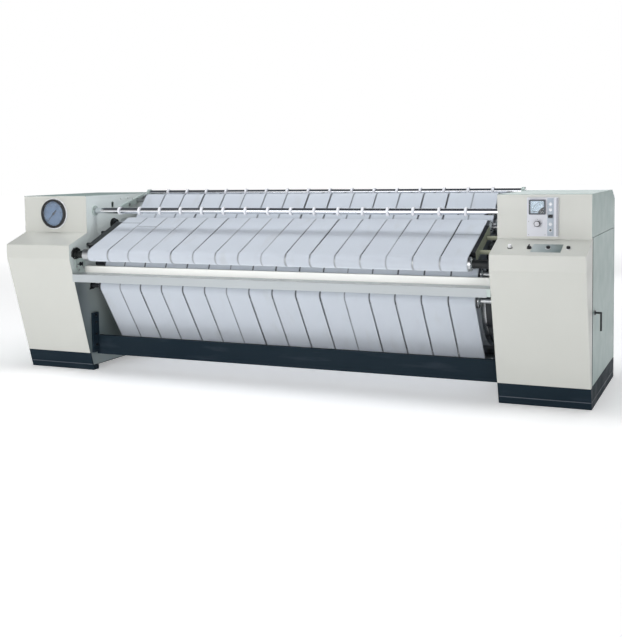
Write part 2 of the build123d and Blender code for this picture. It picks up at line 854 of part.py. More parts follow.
def feed_roller_rear():
    """Rear feed roller, with the sprocket that drives it keyed on its right-hand shaft end."""
    middle = inner_face + feed_row_reach
    body = roller(feed_rear_place, feed_roller_radius, shaft_radius, middle + sprocket_wall)
    return body + sprocket(feed_rear_place, feed_teeth, feed_pitch, middle)


def bearing(place, axle_radius, base_x, direction, wall=bearing_wall, flange_rim=bearing_flange_rim):
    """Flanged shaft bearing that sits on a plate at base_x and points along direction."""
    flange_end = base_x + direction * bearing_flange_wall
    housing_end = base_x + direction * bearing_depth
    rim = axle_radius + wall
    flange = round_x(rim + flange_rim, min(base_x, flange_end), max(base_x, flange_end), *place)
    housing = round_x(rim, min(base_x, housing_end), max(base_x, housing_end), *place)
    reach = (min(base_x, housing_end) - 1, max(base_x, housing_end) + 1)
    return flange + housing - round_x(axle_radius + running_fit, *reach, *place)


def shaft_bearings():
    """All bearings; the left ones of the feed conveyor sit on the open side of their plate."""
    outside = inner_face + end_plate_wall
    group = []
    for side in (-1, 1):
        for place, radius in belt_rollers.values():
            group.append(bearing(place, shaft_radius, side * outside, side))
    feed_walls = (feed_bearing_wall, feed_bearing_rim)
    for base_x in (-inner_face, outside):
        group.append(bearing(feed_front_place, feed_front_shaft_radius, base_x, 1, *feed_walls))
        group.append(bearing(feed_rear_place, shaft_radius, base_x, 1))
    half = journal_housing_size / 2
    housing = block(
        outside,
        outside + journal_housing_depth,
        cylinder_y - half,
        cylinder_y + half,
        cylinder_height - half,
        cylinder_height + half,
    )
    housing = fillet(housing.edges().filter_by(Axis.X), journal_housing_corner)
    bore = journal_radius + running_fit
    housing -= round_x(bore, outside - 1, outside + journal_housing_depth + 1, cylinder_y, cylinder_height)
    return group + [both_sides(housing, side) for side in (-1, 1)]


def ironing_belts():
    """Endless belts: round the seven rollers, and over the back of the cylinder between two of them."""
    stops = [(*nip_place, nip_roller_radius), (cylinder_y, cylinder_height, -cylinder_radius)]
    for name in list(belt_rollers)[1:]:
        place, radius = belt_rollers[name]
        stops.append((*place, radius))
    return belts(stops, belt_left, belt_pitch)


def feed_belts():
    rollers = [(*feed_rear_place, feed_roller_radius), (*feed_front_place, feed_roller_radius)]
    return belts(rollers, belt_left + feed_belt_inset, feed_belt_pitch)


def feed_bed():
    """Sloping bed under the upper run of the feed belts, on two bars between the end plates."""
    low_x, high_x = belt_left - bed_overhang, belt_right + bed_overhang
    start = feed_roller_radius + bed_end_gap
    end = feed_length - start
    top = feed_roller_radius + belt_play - free_gap
    line = [(end, top - bed_skirt), (end, top), (start, top), (start, top - bed_skirt)]
    tilt = radians(feed_slope)

    def placed(points):
        y0, z0 = feed_front_place
        return [(y0 + s * cos(tilt) - n * sin(tilt), z0 + s * sin(tilt) + n * cos(tilt)) for s, n in points]

    bed = folded(placed(line), bed_wall, low_x, high_x)
    rib = [(end - bed_wall / 2, top - bed_wall / 2), (start + bed_wall / 2, top - bed_wall / 2)]
    rib_low = -bed_bar_radius - bed_rib_under
    rib += [(start + bed_wall / 2, rib_low), (end - bed_wall / 2, rib_low)]
    step = (high_x - low_x - bed_wall) / (bed_rib_count - 1)
    for index in range(bed_rib_count):
        x = low_x + index * step
        bed += slab(placed(rib), x, x + bed_wall)
    for along in (start + bed_bar_inset, end - bed_bar_inset):
        bed += round_x(bed_bar_radius, -inner_face, inner_face, *placed([(along, 0)])[0])
    return bed


# ---------------------------------------------------------------- delivery tray
def delivery_tray():
    """Folded sheet: a front band with two lips and a shelf, between the end plates."""
    front = front_line(tray_top) - tray_front_gap
    bottom = tray_top - tray_front_height
    band = [(front + tray_lip, bottom), (front, bottom), (front, tray_top), (front + tray_lip, tray_top)]
    strip = slab(band + inner_line(band, -tray_wall)[::-1], -inner_face, inner_face - tray_right_gap)
    shelf = block(
        -inner_face, inner_face, front + tray_lip, riser_front_y + riser_depth, tray_top - tray_wall, tray_top
    )
    return strip + shelf


def riser_beam():
    """Channel that stands on the tray, in front of the belts; linen slides over its top."""
    rear = riser_front_y + riser_depth
    top = tray_top + riser_height
    line = [(rear, tray_top), (riser_front_y, tray_top), (riser_front_y, top), (rear, top)]
    return slab(line + inner_line(line, -riser_wall)[::-1], -inner_face, inner_face)


def tray_brackets():
    """Blocks on the end plates, under the shelf; the right one shows past the end of the band."""
    front = front_line(tray_top) - tray_front_gap + tray_wall
    right = block(
        inner_face - tray_bracket_width,
        inner_face,
        front + free_gap,
        front + tray_bracket_depth,
        tray_top - tray_front_height + 2 * tray_wall,
        tray_top - tray_wall,
    )
    return [both_sides(right, side) for side in (-1, 1)]


# ---------------------------------------------------------------- divider rods
def front_rod_height():
    return cabinet_height - front_rod_drop


def rear_rod_height():
    return cabinet_height - rear_rod_drop


def divider_rods():
    front = round_x(front_rod_radius, -inner_face, inner_face, front_rod_y, front_rod_height())
    rear = round_x(rear_rod_radius, -inner_face, inner_face, rear_rod_y, rear_rod_height())
    return [front, rear]


def divider_rings():
    """White rings: over the middle of each feed belt in front and of each ironing belt at the rear."""
    rods = (
        (front_rod_radius, front_rod_y, front_rod_height(), belt_left + feed_belt_inset, feed_belt_pitch),
        (rear_rod_radius, rear_rod_y, rear_rod_height(), belt_left, belt_pitch),
    )
    group = []
    for radius, y, z, left, pitch in rods:
        for index in range(belt_count):
            middle = left + index * pitch + (pitch - belt_gap) / 2
            low, high = middle - ring_width / 2, middle + ring_width / 2
            ring = round_x(radius + ring_wall, low, high, y, z)
            group.append(ring - round_x(radius + ring_play, low - 1, high + 1, y, z))
    return group


# ---------------------------------------------------------------- fittings on the end plates
def plate_fittings():
    """Rod flanges and brackets, the tension discs of the feed conveyor and slanting stay bars."""
    group = []
    y, z = front_rod_y, front_rod_height()
    low, high = inner_face - rod_flange_depth, inner_face
    flange = round_x(front_rod_radius + rod_flange_rim, low, high, y, z)
    flange -= round_x(front_rod_radius + ring_play, low - 1, high + 1, y, z)
    y, z = rear_rod_y, rear_rod_height()
    rim = rear_rod_radius + rod_bracket_rim
    low = inner_face - rod_bracket_length
    bracket = round_x(rim, low, high, y, z)
    bracket += block(high - rod_flange_depth, high, y - rim, y + rim, z - rod_bracket_drop, z)
    bracket -= round_x(rear_rod_radius + ring_play, low - 1, high + 1, y, z)
    disc_y = feed_front_place[0] + tension_disc_offset[0]
    disc_z = feed_front_place[1] + tension_disc_offset[1]
    disc = round_x(tension_disc_radius, inner_face - tension_disc_wall, inner_face, disc_y, disc_z)
    outer = feed_front_shaft_radius + feed_bearing_wall + feed_bearing_rim + disc_play
    disc -= round_x(outer, low, high + 1, *feed_front_place)
    y, z = top_place
    bar = block(
        inner_face - stay_bar_wall,
        inner_face,
        -stay_bar_forward,
        stay_bar_rearward,
        -stay_bar_width / 2,
        stay_bar_width / 2,
    )
    bar -= round_x(shaft_radius + stay_bar_play, low, high + 1, 0, 0)
    bar = Pos(0, y, z) * Rot(stay_bar_angle, 0, 0) * bar
    for side in (-1, 1):
        for piece in (flange, bracket, disc, bar):
            group.append(both_sides(piece, side))
    return group


# ---------------------------------------------------------------- drive
def pitch_radius(teeth, pitch):
    return pitch / (2 * sin(pi / teeth))


def sprocket(place, teeth, pitch, middle_x):
    """Toothed disc round an axis along X; each tooth is a trapezium over the root circle."""
    radius = pitch_radius(teeth, pitch)
    root, tip = radius - tooth_root * pitch, radius + tooth_tip * pitch
    points = []
    for index in range(teeth):
        middle = 2 * pi * index / teeth
        for reach, share in (
            (root, -tooth_foot),
            (tip, -tooth_crest),
            (tip, tooth_crest),
            (root, tooth_foot),
        ):
            angle = middle + share * 2 * pi / teeth
            points.append((place[0] + reach * cos(angle), place[1] + reach * sin(angle)))
    return slab(points, middle_x - sprocket_wall / 2, middle_x + sprocket_wall / 2)


def cylinder_sprocket():
    """Two chain rings on one hub, on the cylinder's right-hand journal."""
    place = (cylinder_y, cylinder_height)
    drive_x, feed_x = inner_face + drive_row_reach, inner_face + feed_row_reach
    wheel = sprocket(place, cylinder_teeth, drive_pitch, drive_x)
    wheel += sprocket(place, feed_cylinder_teeth, feed_pitch, feed_x)
    low, high = drive_x - sprocket_wall, feed_x + sprocket_wall
    wheel += round_x(journal_radius + sprocket_hub_wall, low, high, *place)
    return wheel - round_x(journal_radius, low - 1, high + 1, *place)


def drive_shaft_place():
    return (drive_shaft_y, plinth_height + drive_shaft_lift)


def drive_sprocket():
    middle = inner_face + drive_row_reach
    wheel = sprocket(drive_shaft_place(), drive_teeth, drive_pitch, middle)
    end = middle + gearbox_gap + gearbox_bore_depth
    return wheel + round_x(drive_shaft_radius, middle - sprocket_wall, end, *drive_shaft_place())


def chain(first, first_teeth, second, second_teeth, pitch, middle_x):
    """Roller chain: link plates on both sides of the wheels, and pins where the chain runs free."""
    stops = [
        (*first, pitch_radius(first_teeth, pitch)),
        (*second, pitch_radius(second_teeth, pitch)),
    ]
    half = link_half_height * pitch
    outer = loop_face([(y, z, r + half) for y, z, r in stops])
    inner = loop_face([(y, z, r - half) for y, z, r in stops])
    plate = Plane.YZ * (outer - inner)
    wall = link_wall * pitch
    gap = sprocket_wall / 2 + link_play
    links = extrude(Pos(middle_x + gap, 0, 0) * plate, wall, dir=(1, 0, 0))
    links += extrude(Pos(middle_x - gap - wall, 0, 0) * plate, wall, dir=(1, 0, 0))
    pin = link_pin * pitch
    for leaving, arriving in (stops, stops[::-1]):
        (y1, z1), (y2, z2) = straight_run(leaving, arriving)
        length = hypot(y2 - y1, z2 - z1)
        clear = [sqrt((r + link_clear * pitch) ** 2 - r * r) for r in (leaving[2], arriving[2])]
        run = length - clear[0] - clear[1]
        count = int(run / pitch)
        for index in range(count + 1):
            share = (clear[0] + (run - count * pitch) / 2 + index * pitch) / length
            y, z = y1 + (y2 - y1) * share, z1 + (z2 - z1) * share
            links += round_x(pin, middle_x - gap - wall / 2, middle_x + gap + wall / 2, y, z)
    return links


def drive_chain():
    middle = inner_face + drive_row_reach
    place = (cylinder_y, cylinder_height)
    return chain(place, cylinder_teeth, drive_shaft_place(), drive_teeth, drive_pitch, middle)


def feed_chain():
    middle = inner_face + feed_row_reach
    place = (cylinder_y, cylinder_height)
    return chain(place, feed_cylinder_teeth, feed_rear_place, feed_teeth, feed_pitch, middle)


def gearbox_low_x():
    return inner_face + drive_row_reach + gearbox_gap


def gearbox():
    """Worm gearbox on the plinth; its hollow side takes the drive sprocket's shaft."""
    low = gearbox_low_x()
    y, z = drive_shaft_place()
    high = low + gearbox_width
    half = gearbox_depth / 2
    case = block(low, high, y - half, y + half, plinth_height, plinth_height + gearbox_height)
    case = fillet(case.edges().filter_by(Axis.X), gearbox_corner)
    foot = half + gearbox_foot_reach
    case += block(low, high, y - foot, y + foot, plinth_height, plinth_height + gearbox_foot_wall)
    bore = round_x(drive_shaft_radius + running_fit, low - 1, low + gearbox_bore_depth + free_gap, y, z)
    return case - bore


def drive_motor():
    """Flanged electric motor behind the gearbox, with its terminal box on top."""
    x = gearbox_low_x() + gearbox_width / 2
    z = plinth_height + motor_lift
    front = drive_shaft_y + gearbox_depth / 2
    motor = round_y(motor_flange_radius, front, front + motor_flange_wall, x, z)
    motor += round_y(motor_radius, front, front + motor_length, x, z)
    width, depth, height = terminal_box
    low = front + terminal_box_start
    motor += block(x - width / 2, x + width / 2, low, low + depth, z, z + motor_radius + height)
    return motor


def electrical_box():
    """Sheet enclosure for the switchgear, standing on the plinth behind the front cover."""
    width, depth, height = electric_box
    high, rear = half_width - electric_box_side_gap, electric_box_y + depth
    box = block(high - width, high, electric_box_y, rear, plinth_height, plinth_height + height)
    return fillet(box.edges().filter_by(Axis.Z), electric_box_corner)


# ---------------------------------------------------------------- steam
def rotary_low_x():
    """Distance from the middle to the rotary joint's near end, measured on the right-hand side."""
    return inner_face + journal_reach + rotary_gap


def rotary_middle_x():
    return rotary_low_x() + rotary_body_length / 2


def steam_pipe_x():
    return rotary_low_x() + rotary_body_length + steam_pipe_run


def rotary_joint():
    """Body that lets steam in and condensate out; the turning journal runs in its bore."""
    low, high = rotary_low_x(), rotary_low_x() + rotary_body_length
    body = round_x(rotary_body_radius, low, high, cylinder_y, cylinder_height)
    bore = journal_spigot_length - rotary_gap + free_gap
    body -= round_x(
        journal_spigot_radius + running_fit, low - 1, low + bore, cylinder_y, cylinder_height
    )
    return both_sides(body, -1)


def pipe(points, bend, radius, spigot):
    """A bent pipe; its last end steps down to a slimmer threaded spigot that points to the rear."""
    path = FilletPolyline(*points, radius=bend)
    start = Plane(origin=path @ 0, z_dir=path % 0)
    tube = sweep(start * Circle(radius), path=path)
    if spigot:
        x, y, z = points[-1]
        tube += round_y(radius - spigot_step, y, y + spigot_length, x, z)
    return tube


def steam_pipes():
    """Steam inlet, condensate outlet, and the thin line to the pressure gauge."""
    far_end = rotary_low_x() + rotary_body_length
    rear = cabinet_depth
    steam = pipe(
        [
            (far_end, cylinder_y, cylinder_height),
            (steam_pipe_x(), cylinder_y, cylinder_height),
            (steam_pipe_x(), rear, cylinder_height),
        ],
        pipe_bend,
        steam_pipe_radius,
        True,
    )
    drain = pipe(
        [
            (rotary_middle_x(), cylinder_y, cylinder_height - rotary_body_radius),
            (rotary_middle_x(), cylinder_y, drain_pipe_height),
            (rotary_middle_x(), rear, drain_pipe_height),
        ],
        pipe_bend,
        drain_pipe_radius,
        True,
    )
    gauge_x = half_width - gauge_side_inset
    gauge_z = cabinet_height - gauge_drop
    line = pipe(
        [
            (steam_pipe_x(), gauge_line_y, cylinder_height + steam_pipe_radius),
            (steam_pipe_x(), gauge_line_y, gauge_z),
            (gauge_x, gauge_line_y, gauge_z),
            (gauge_x, gauge_body_depth, gauge_z),
        ],
        gauge_line_bend,
        gauge_line_radius,
        False,
    )
    return [both_sides(piece, -1) for piece in (steam, drain, line)]


# ---------------------------------------------------------------- pressure gauge
def gauge_place():
    return (-(half_width - gauge_side_inset), cabinet_height - gauge_drop)


def gauge_case():
    """Round case: a white fixing flange, a black bezel, the dial's floor and the body behind."""
    x, z = gauge_place()
    case = round_y(gauge_flange_radius, -gauge_flange_wall, 0, x, z)
    case += round_y(gauge_bezel_radius, -gauge_bezel_height, 0, x, z)
    case -= round_y(gauge_dial_radius, -gauge_bezel_height - 1, -gauge_dial_height, x, z)
    case += round_y(gauge_body_radius - free_gap, -gauge_flange_wall, gauge_body_depth, x, z)
    pin_end = -gauge_dial_height - needle_lift - 2 * needle_wall
    case += round_y(needle_pin_radius, pin_end, 0, x, z)
    return case


def gauge_needle():
    """Slim pointer with a heavy tail, on the gauge's pin, resting at the dial's zero."""
    x, z = gauge_place()
    low = -gauge_dial_height - needle_lift - needle_wall
    high = low + needle_wall
    tail, waist, tip = needle_half_widths
    outline = [
        (-needle_tail, -tail),
        (-needle_tail, tail),
        (0, waist),
        (needle_length, tip),
        (needle_length, -tip),
        (0, -waist),
    ]
    pointer = extrude(make_face(Polyline(*outline, close=True)), needle_wall)
    pointer += Cylinder(needle_hub_radius, needle_wall, align=(Align.CENTER, Align.CENTER, Align.MIN))
    pointer -= Cylinder(needle_pin_radius + running_fit, 4 * needle_wall)
    return Pos(x, high, z) * Rot(90, 0, 0) * Rot(0, 0, needle_rest_angle) * pointer


# ---------------------------------------------------------------- control panel
def meter_corner():
    """Left and bottom of the meter on the panel."""
    return (panel_left + meter_inset, panel_top - meter_inset - meter_height)


def meter_pivot():
    left, bottom = meter_corner()
    return (left + meter_width - meter_pivot_inset, bottom + meter_pivot_inset)


def control_panel():
    """Shallow box on the upper face, bored for the knob, the rocker switch and the reset button."""
    box = block(panel_left, panel_left + panel_width, -panel_depth, 0, panel_top - panel_height, panel_top)
    box = fillet(box.edges().filter_by(Axis.Y), panel_corner)
    knob_x, knob_z = panel_left + knob_inset, panel_top - knob_drop
    box -= round_y(knob_spindle_radius + running_fit, -panel_depth - 1, -knob_floor, knob_x, knob_z)
    box -= round_y(reset_radius + free_gap, -panel_depth - 1, 1, strip_x, panel_top - reset_drop)
    width, depth, height = rocker_size
    half_x, half_z = width / 2 + free_gap, height / 2 + rocker_pocket_play
    z = panel_top - rocker_drop
    floor = -panel_depth + rocker_pocket_depth
    box -= block(strip_x - half_x, strip_x + half_x, -panel_depth - 1, floor, z - half_z, z + half_z)
    return box


def panel_meter():
    """Square moving-coil meter: a rim round a sunk scale, with the needle's pin in the corner."""
    left, bottom = meter_corner()
    front = -panel_depth - meter_depth
    case = block(left, left + meter_width, front, -panel_depth, bottom, bottom + meter_height)
    case = fillet(case.edges().filter_by(Axis.Y), meter_corner_radius)
    case -= block(
        left + meter_rim,
        left + meter_width - meter_rim,
        front - 1,
        front + meter_recess,
        bottom + meter_rim,
        bottom + meter_height - meter_rim,
    )
    x, z = meter_pivot()
    return case + round_y(needle_pin_radius, front + 2, front + meter_recess + 1, x, z)


def meter_needle():
    """Needle that points to the left at rest and turns up as the meter reads higher."""
    x, z = meter_pivot()
    rear = -panel_depth - meter_depth + meter_recess - needle_lift
    low, half = rear - meter_needle_wall, meter_needle_width / 2
    needle = round_y(meter_hub_radius, low, rear, x, z)
    needle += block(x - meter_needle_length, x, low, rear, z - half, z + half)
    return needle - round_y(needle_pin_radius + running_fit, low - 1, rear + 1, x, z)


def speed_knob():
    """Knurled speed knob with a pointer line, on a spindle in the panel."""
    x, z = panel_left + knob_inset, panel_top - knob_drop
    high = -panel_depth - free_gap
    low = high - knob_height
    knob = round_y(knob_radius, low, high, x, z)
    knob = chamfer(knob.faces().sort_by(Axis.Y)[0].edges(), knob_chamfer)
    for index in range(knob_groove_count):
        angle = 2 * pi * index / knob_groove_count
        groove_x, groove_z = x + knob_radius * cos(angle), z + knob_radius * sin(angle)
        knob -= round_y(knob_groove_radius, low + knob_groove_start, high + 1, groove_x, groove_z)
    half, depth = knob_line_width / 2, knob_line_width * 0.75
    knob -= block(x - half, x + half, low - 1, low + depth, z + knob_line_start, z + knob_radius + 1)
    return knob + round_y(knob_spindle_radius, high - 1, -knob_floor - free_gap, x, z)


def power_switch():
    """Rocker in a pocket of the panel, rocking about a line along X; the top is pressed in."""
    width, depth, height = rocker_size
    rocker = Box(width, depth, height)
    rocker = fillet(rocker.edges().filter_by(Axis.Y), rocker_corner)
    place = Pos(strip_x, -panel_depth + rocker_pivot_depth(), panel_top - rocker_drop)
    return place * Rot(-rocker_tilt, 0, 0) * rocker


def rocker_pivot_depth():
    """The rocker's axis, behind the panel's face."""
    return rocker_size[1] / 2 - rocker_proud


def reset_button():
    z = panel_top - reset_drop
    low, high = -panel_depth - reset_height, -reset_travel - free_gap
    button = round_y(reset_radius, low, high, strip_x, z)
    return chamfer(button.faces().sort_by(Axis.Y)[0].edges(), reset_chamfer)


def indicator_lamps():
    """Round lenses on the panel's strip."""
    group = []
    for drop in lamp_drops:
        lens = round_y(lamp_radius, -panel_depth - lamp_height, -panel_depth, strip_x, panel_top - drop)
        group.append(fillet(lens.faces().sort_by(Axis.Y)[0].edges(), lamp_dome))
    return group


# ---------------------------------------------------------------- shelf controls
def push_button(index, height=push_height, dome=push_dome):
    """Push button on the shelf: a domed cap and the stem that slides through the sheet."""
    low = push_travel + free_gap
    cap = Pos(0, 0, low + height / 2) * Cylinder(push_radius, height)
    cap = fillet(cap.faces().sort_by(Axis.Z)[-1].edges(), dome)
    stem_low = -4 * cover_wall
    stem_length = low + 1 - stem_low
    stem = Pos(0, 0, stem_low + stem_length / 2) * Cylinder(push_stem_radius, stem_length)
    return on_shelf(index, cap + stem)


def mode_selector():
    """Rotary selector with a raised blade that tapers to a point."""
    base_low = free_gap
    knob = Pos(0, 0, base_low + selector_height / 2) * Cylinder(selector_radius, selector_height)
    length, width, height = selector_blade
    half, shoulder = width / 2, length / 4
    outline = [(-half, -length / 2), (half, -length / 2), (half, shoulder)]
    outline += [(0, length / 2 + selector_point), (-half, shoulder)]
    blade = extrude(make_face(Polyline(*outline, close=True)), selector_height + height)
    knob += Pos(0, 0, base_low) * blade
    low = -4 * cover_wall
    reach = base_low + 1 - low
    knob += Pos(0, 0, low + reach / 2) * Cylinder(selector_spindle_radius, reach)
    return on_shelf(1, knob)


# ---------------------------------------------------------------- writing the pieces
def all_pieces():
    pieces = {
        "base_left": base(-1),
        "base_right": base(1),
        "end_plate_left": end_plate(-1),
        "end_plate_right": end_plate(1),
        "front_beam": front_beam(),
        "rear_beam": rear_beam(),
        "front_cover_left": front_cover(-1),
        "front_cover_right": front_cover(1),
        "top_cover_left": top_cover(-1),
        "top_cover_right": top_cover(1),
        "rear_cover_left": rear_cover(-1),
        "rear_cover_right": rear_cover(1),
        "rear_guard": rear_guard(),
        "side_door_left": side_door(-1),
        "side_door_right": side_door(1),
        "door_handle_left": door_handle(-1),
        "door_handle_right": door_handle(1),
        "door_pivots": door_pivots(),
        "delivery_tray": delivery_tray(),
        "riser_beam": riser_beam(),
        "tray_brackets": tray_brackets(),
        "divider_rods": divider_rods(),
        "divider_rings": divider_rings(),
        "plate_fittings": plate_fittings(),
        "shaft_bearings": shaft_bearings(),
        "feed_roller_front": roller(
            feed_front_place, feed_roller_radius, feed_front_shaft_radius, outer_shaft_end
        ),
        "feed_roller_rear": feed_roller_rear(),
        "feed_bed": feed_bed(),
        "feed_belts": feed_belts(),
        "ironing_cylinder": ironing_cylinder(),
        "ironing_belts": ironing_belts(),
        "cylinder_sprocket": cylinder_sprocket(),
        "drive_sprocket": drive_sprocket(),
        "drive_chain": drive_chain(),
        "feed_chain": feed_chain(),
        "gearbox": gearbox(),
        "drive_motor": drive_motor(),
        "electrical_box": electrical_box(),
        "rotary_joint": rotary_joint(),
        "steam_pipes": steam_pipes(),
        "gauge_case": gauge_case(),
        "gauge_needle": gauge_needle(),
        "control_panel": control_panel(),
        "panel_meter": panel_meter(),
        "meter_needle": meter_needle(),
        "speed_knob": speed_knob(),
        "power_switch": power_switch(),
        "reset_button": reset_button(),
        "indicator_lamps": indicator_lamps(),
        "start_button": push_button(0, start_height, start_dome),
        "mode_selector": mode_selector(),
        "stop_button": push_button(2),
        "jog_button": push_button(3),
    }
    for name, (place, radius) in belt_rollers.items():
        pieces[name] = roller(place, radius, shaft_radius, outer_shaft_end)
    return pieces


footprint_front = -nose_reach
footprint_rear = cabinet_depth + spigot_length
to_origin = Pos(0, -(footprint_front + footprint_rear) / 2, 0)

os.makedirs("parts", exist_ok=True)
for name, shape in all_pieces().items():
    solids = shape if isinstance(shape, list) else [shape]
    placed = [to_origin * solid for piece in solids for solid in piece.solids()]
    whole = placed[0] if len(placed) == 1 else Compound(children=placed)
    export_step(whole, os.path.join("parts", name + ".step"))
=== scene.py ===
import math

import bmesh
import bpy
from mathutils import Matrix, Vector


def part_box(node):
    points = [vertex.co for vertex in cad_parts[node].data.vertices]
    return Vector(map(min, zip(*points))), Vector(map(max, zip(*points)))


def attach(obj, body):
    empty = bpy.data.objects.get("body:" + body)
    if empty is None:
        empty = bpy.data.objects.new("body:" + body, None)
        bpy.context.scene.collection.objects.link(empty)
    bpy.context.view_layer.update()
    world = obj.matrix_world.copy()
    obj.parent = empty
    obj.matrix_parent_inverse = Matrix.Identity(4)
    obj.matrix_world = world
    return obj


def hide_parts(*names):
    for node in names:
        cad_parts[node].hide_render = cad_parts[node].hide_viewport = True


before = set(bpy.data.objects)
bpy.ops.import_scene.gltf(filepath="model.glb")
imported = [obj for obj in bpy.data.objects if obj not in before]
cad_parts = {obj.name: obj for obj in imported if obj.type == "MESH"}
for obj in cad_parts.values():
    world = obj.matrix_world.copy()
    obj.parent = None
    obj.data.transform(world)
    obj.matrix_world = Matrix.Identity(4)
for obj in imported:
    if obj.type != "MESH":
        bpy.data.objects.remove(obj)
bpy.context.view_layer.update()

# Camera: stands in front of the right-hand cabinet at head height and looks across the machine to its
# left end, level apart from a slight tilt down and a small roll, as the photographer held it.
photo_width, photo_height = 622, 637
focal_length, axis_x, axis_y = 998.23, 306.9, 245.27      # in the photograph's pixels, from its top left
camera_data = bpy.data.cameras.new("camera")
camera_data.sensor_width = 36.0
camera_data.lens = focal_length * camera_data.sensor_width / photo_height
camera_data.shift_x = (photo_width / 2 - axis_x) / photo_height
camera_data.shift_y = (axis_y - photo_height / 2) / photo_height
camera_data.clip_end = 200.0
camera = bpy.data.objects.new("camera", camera_data)
bpy.context.collection.objects.link(camera)
camera.matrix_world = (
    Matrix.Translation((2.925, -6.4908, 1.4794))
    @ Matrix.Rotation(math.radians(23.9), 4, "Z")
    @ Matrix.Rotation(math.radians(90 - 4.44), 4, "X")
    @ Matrix.Rotation(math.radians(-0.91), 4, "Z")
)
bpy.context.scene.camera = camera
bpy.context.scene.view_settings.view_transform = "Standard"


# Studio: a white floor that runs to a white horizon, a dim ceiling that the bright metal reflects as its
# dark band, and large soft boxes in front, above, behind and at both ends.
def colour(red, green, blue):
    """A colour picked on screen, as the shader wants it."""
    linear = [((c / 255 + 0.055) / 1.055) ** 2.4 if c > 10 else c / 255 / 12.92 for c in (red, green, blue)]
    return (*linear, 1.0)


world = bpy.data.worlds.new("studio")
bpy.context.scene.world = world
world.use_nodes = True
sky = world.node_tree
direction = sky.nodes.new("ShaderNodeTexCoord")
split = sky.nodes.new("ShaderNodeSeparateXYZ")
ramp = sky.nodes.new("ShaderNodeValToRGB")
ramp.color_ramp.elements[0].position = 0.24
ramp.color_ramp.elements[0].color = (0.38, 0.38, 0.38, 1)
ramp.color_ramp.elements[1].position = 0.5
ramp.color_ramp.elements[1].color = (0.08, 0.085, 0.095, 1)
room = sky.nodes["Background"]
backdrop = sky.nodes.new("ShaderNodeBackground")
seen = sky.nodes.new("ShaderNodeLightPath")
either = sky.nodes.new("ShaderNodeMixShader")
sky.links.new(direction.outputs["Generated"], split.inputs[0])
sky.links.new(split.outputs["Z"], ramp.inputs["Fac"])
sky.links.new(ramp.outputs["Color"], room.inputs["Color"])
backdrop.inputs["Color"].default_value = (1, 1, 1, 1)
sky.links.new(seen.outputs["Is Camera Ray"], either.inputs["Fac"])
sky.links.new(room.outputs[0], either.inputs[1])
sky.links.new(backdrop.outputs[0], either.inputs[2])
sky.links.new(either.outputs[0], sky.nodes["World Output"].inputs["Surface"])


def soft_box(name, place, aim, width, length, power, tint=(1.0, 1.0, 1.0)):
    """A rectangular lamp that shines from a place to an aim and doesn't show itself."""
    lamp = bpy.data.lights.new(name, "AREA")
    lamp.shape = "RECTANGLE"
    lamp.size, lamp.size_y = width, length
    lamp.energy = power
    lamp.color = tint
    lamp_object = bpy.data.objects.new(name, lamp)
    bpy.context.collection.objects.link(lamp_object)
    lamp_object.location = place
    lamp_object.rotation_euler = (Vector(aim) - Vector(place)).to_track_quat("-Z", "Y").to_euler()
    lamp_object.visible_camera = False
    return lamp_object


soft_box("front_box", (-1.5, -6.5, 3.6), (0, 0, 0.8), 6.0, 2.5, 50)
soft_box("low_box", (-0.6, -6.0, 0.95), (-0.2, 0, 0.8), 5.6, 1.5, 98)
soft_box("top_box", (0.3, -0.6, 5.2), (0, 0.2, 0), 6.0, 2.2, 182, (0.97, 0.985, 1.0)).visible_glossy = False
soft_box("rear_box", (0.5, 6.5, 3.2), (0, 0, 0.7), 6.0, 2.2, 76)
soft_box("left_box", (-7.0, -0.5, 2.6), (0, 0, 0.7), 3.0, 2.0, 36)
soft_box("right_box", (7.2, 0.2, 2.4), (0, 0, 0.7), 3.0, 2.0, 10)
# two thin strips stand in for light that bounces between the belts, the riser beam and the tray
soft_box("belt_strip", (-0.015, -0.500, 0.820), (-0.015, 0, 0.800), 2.8, 0.02, 0.2).visible_glossy = False
soft_box("riser_strip", (-0.015, -0.634, 0.800), (-0.015, 0, 0.790), 2.8, 0.02, 0.65).visible_glossy = False

ground = bmesh.new()
bmesh.ops.create_circle(ground, cap_ends=True, segments=96, radius=60.0)
ground_mesh = bpy.data.meshes.new("studio_floor")
ground.to_mesh(ground_mesh)
studio_floor = bpy.data.objects.new("studio_floor", ground_mesh)
bpy.context.collection.objects.link(studio_floor)


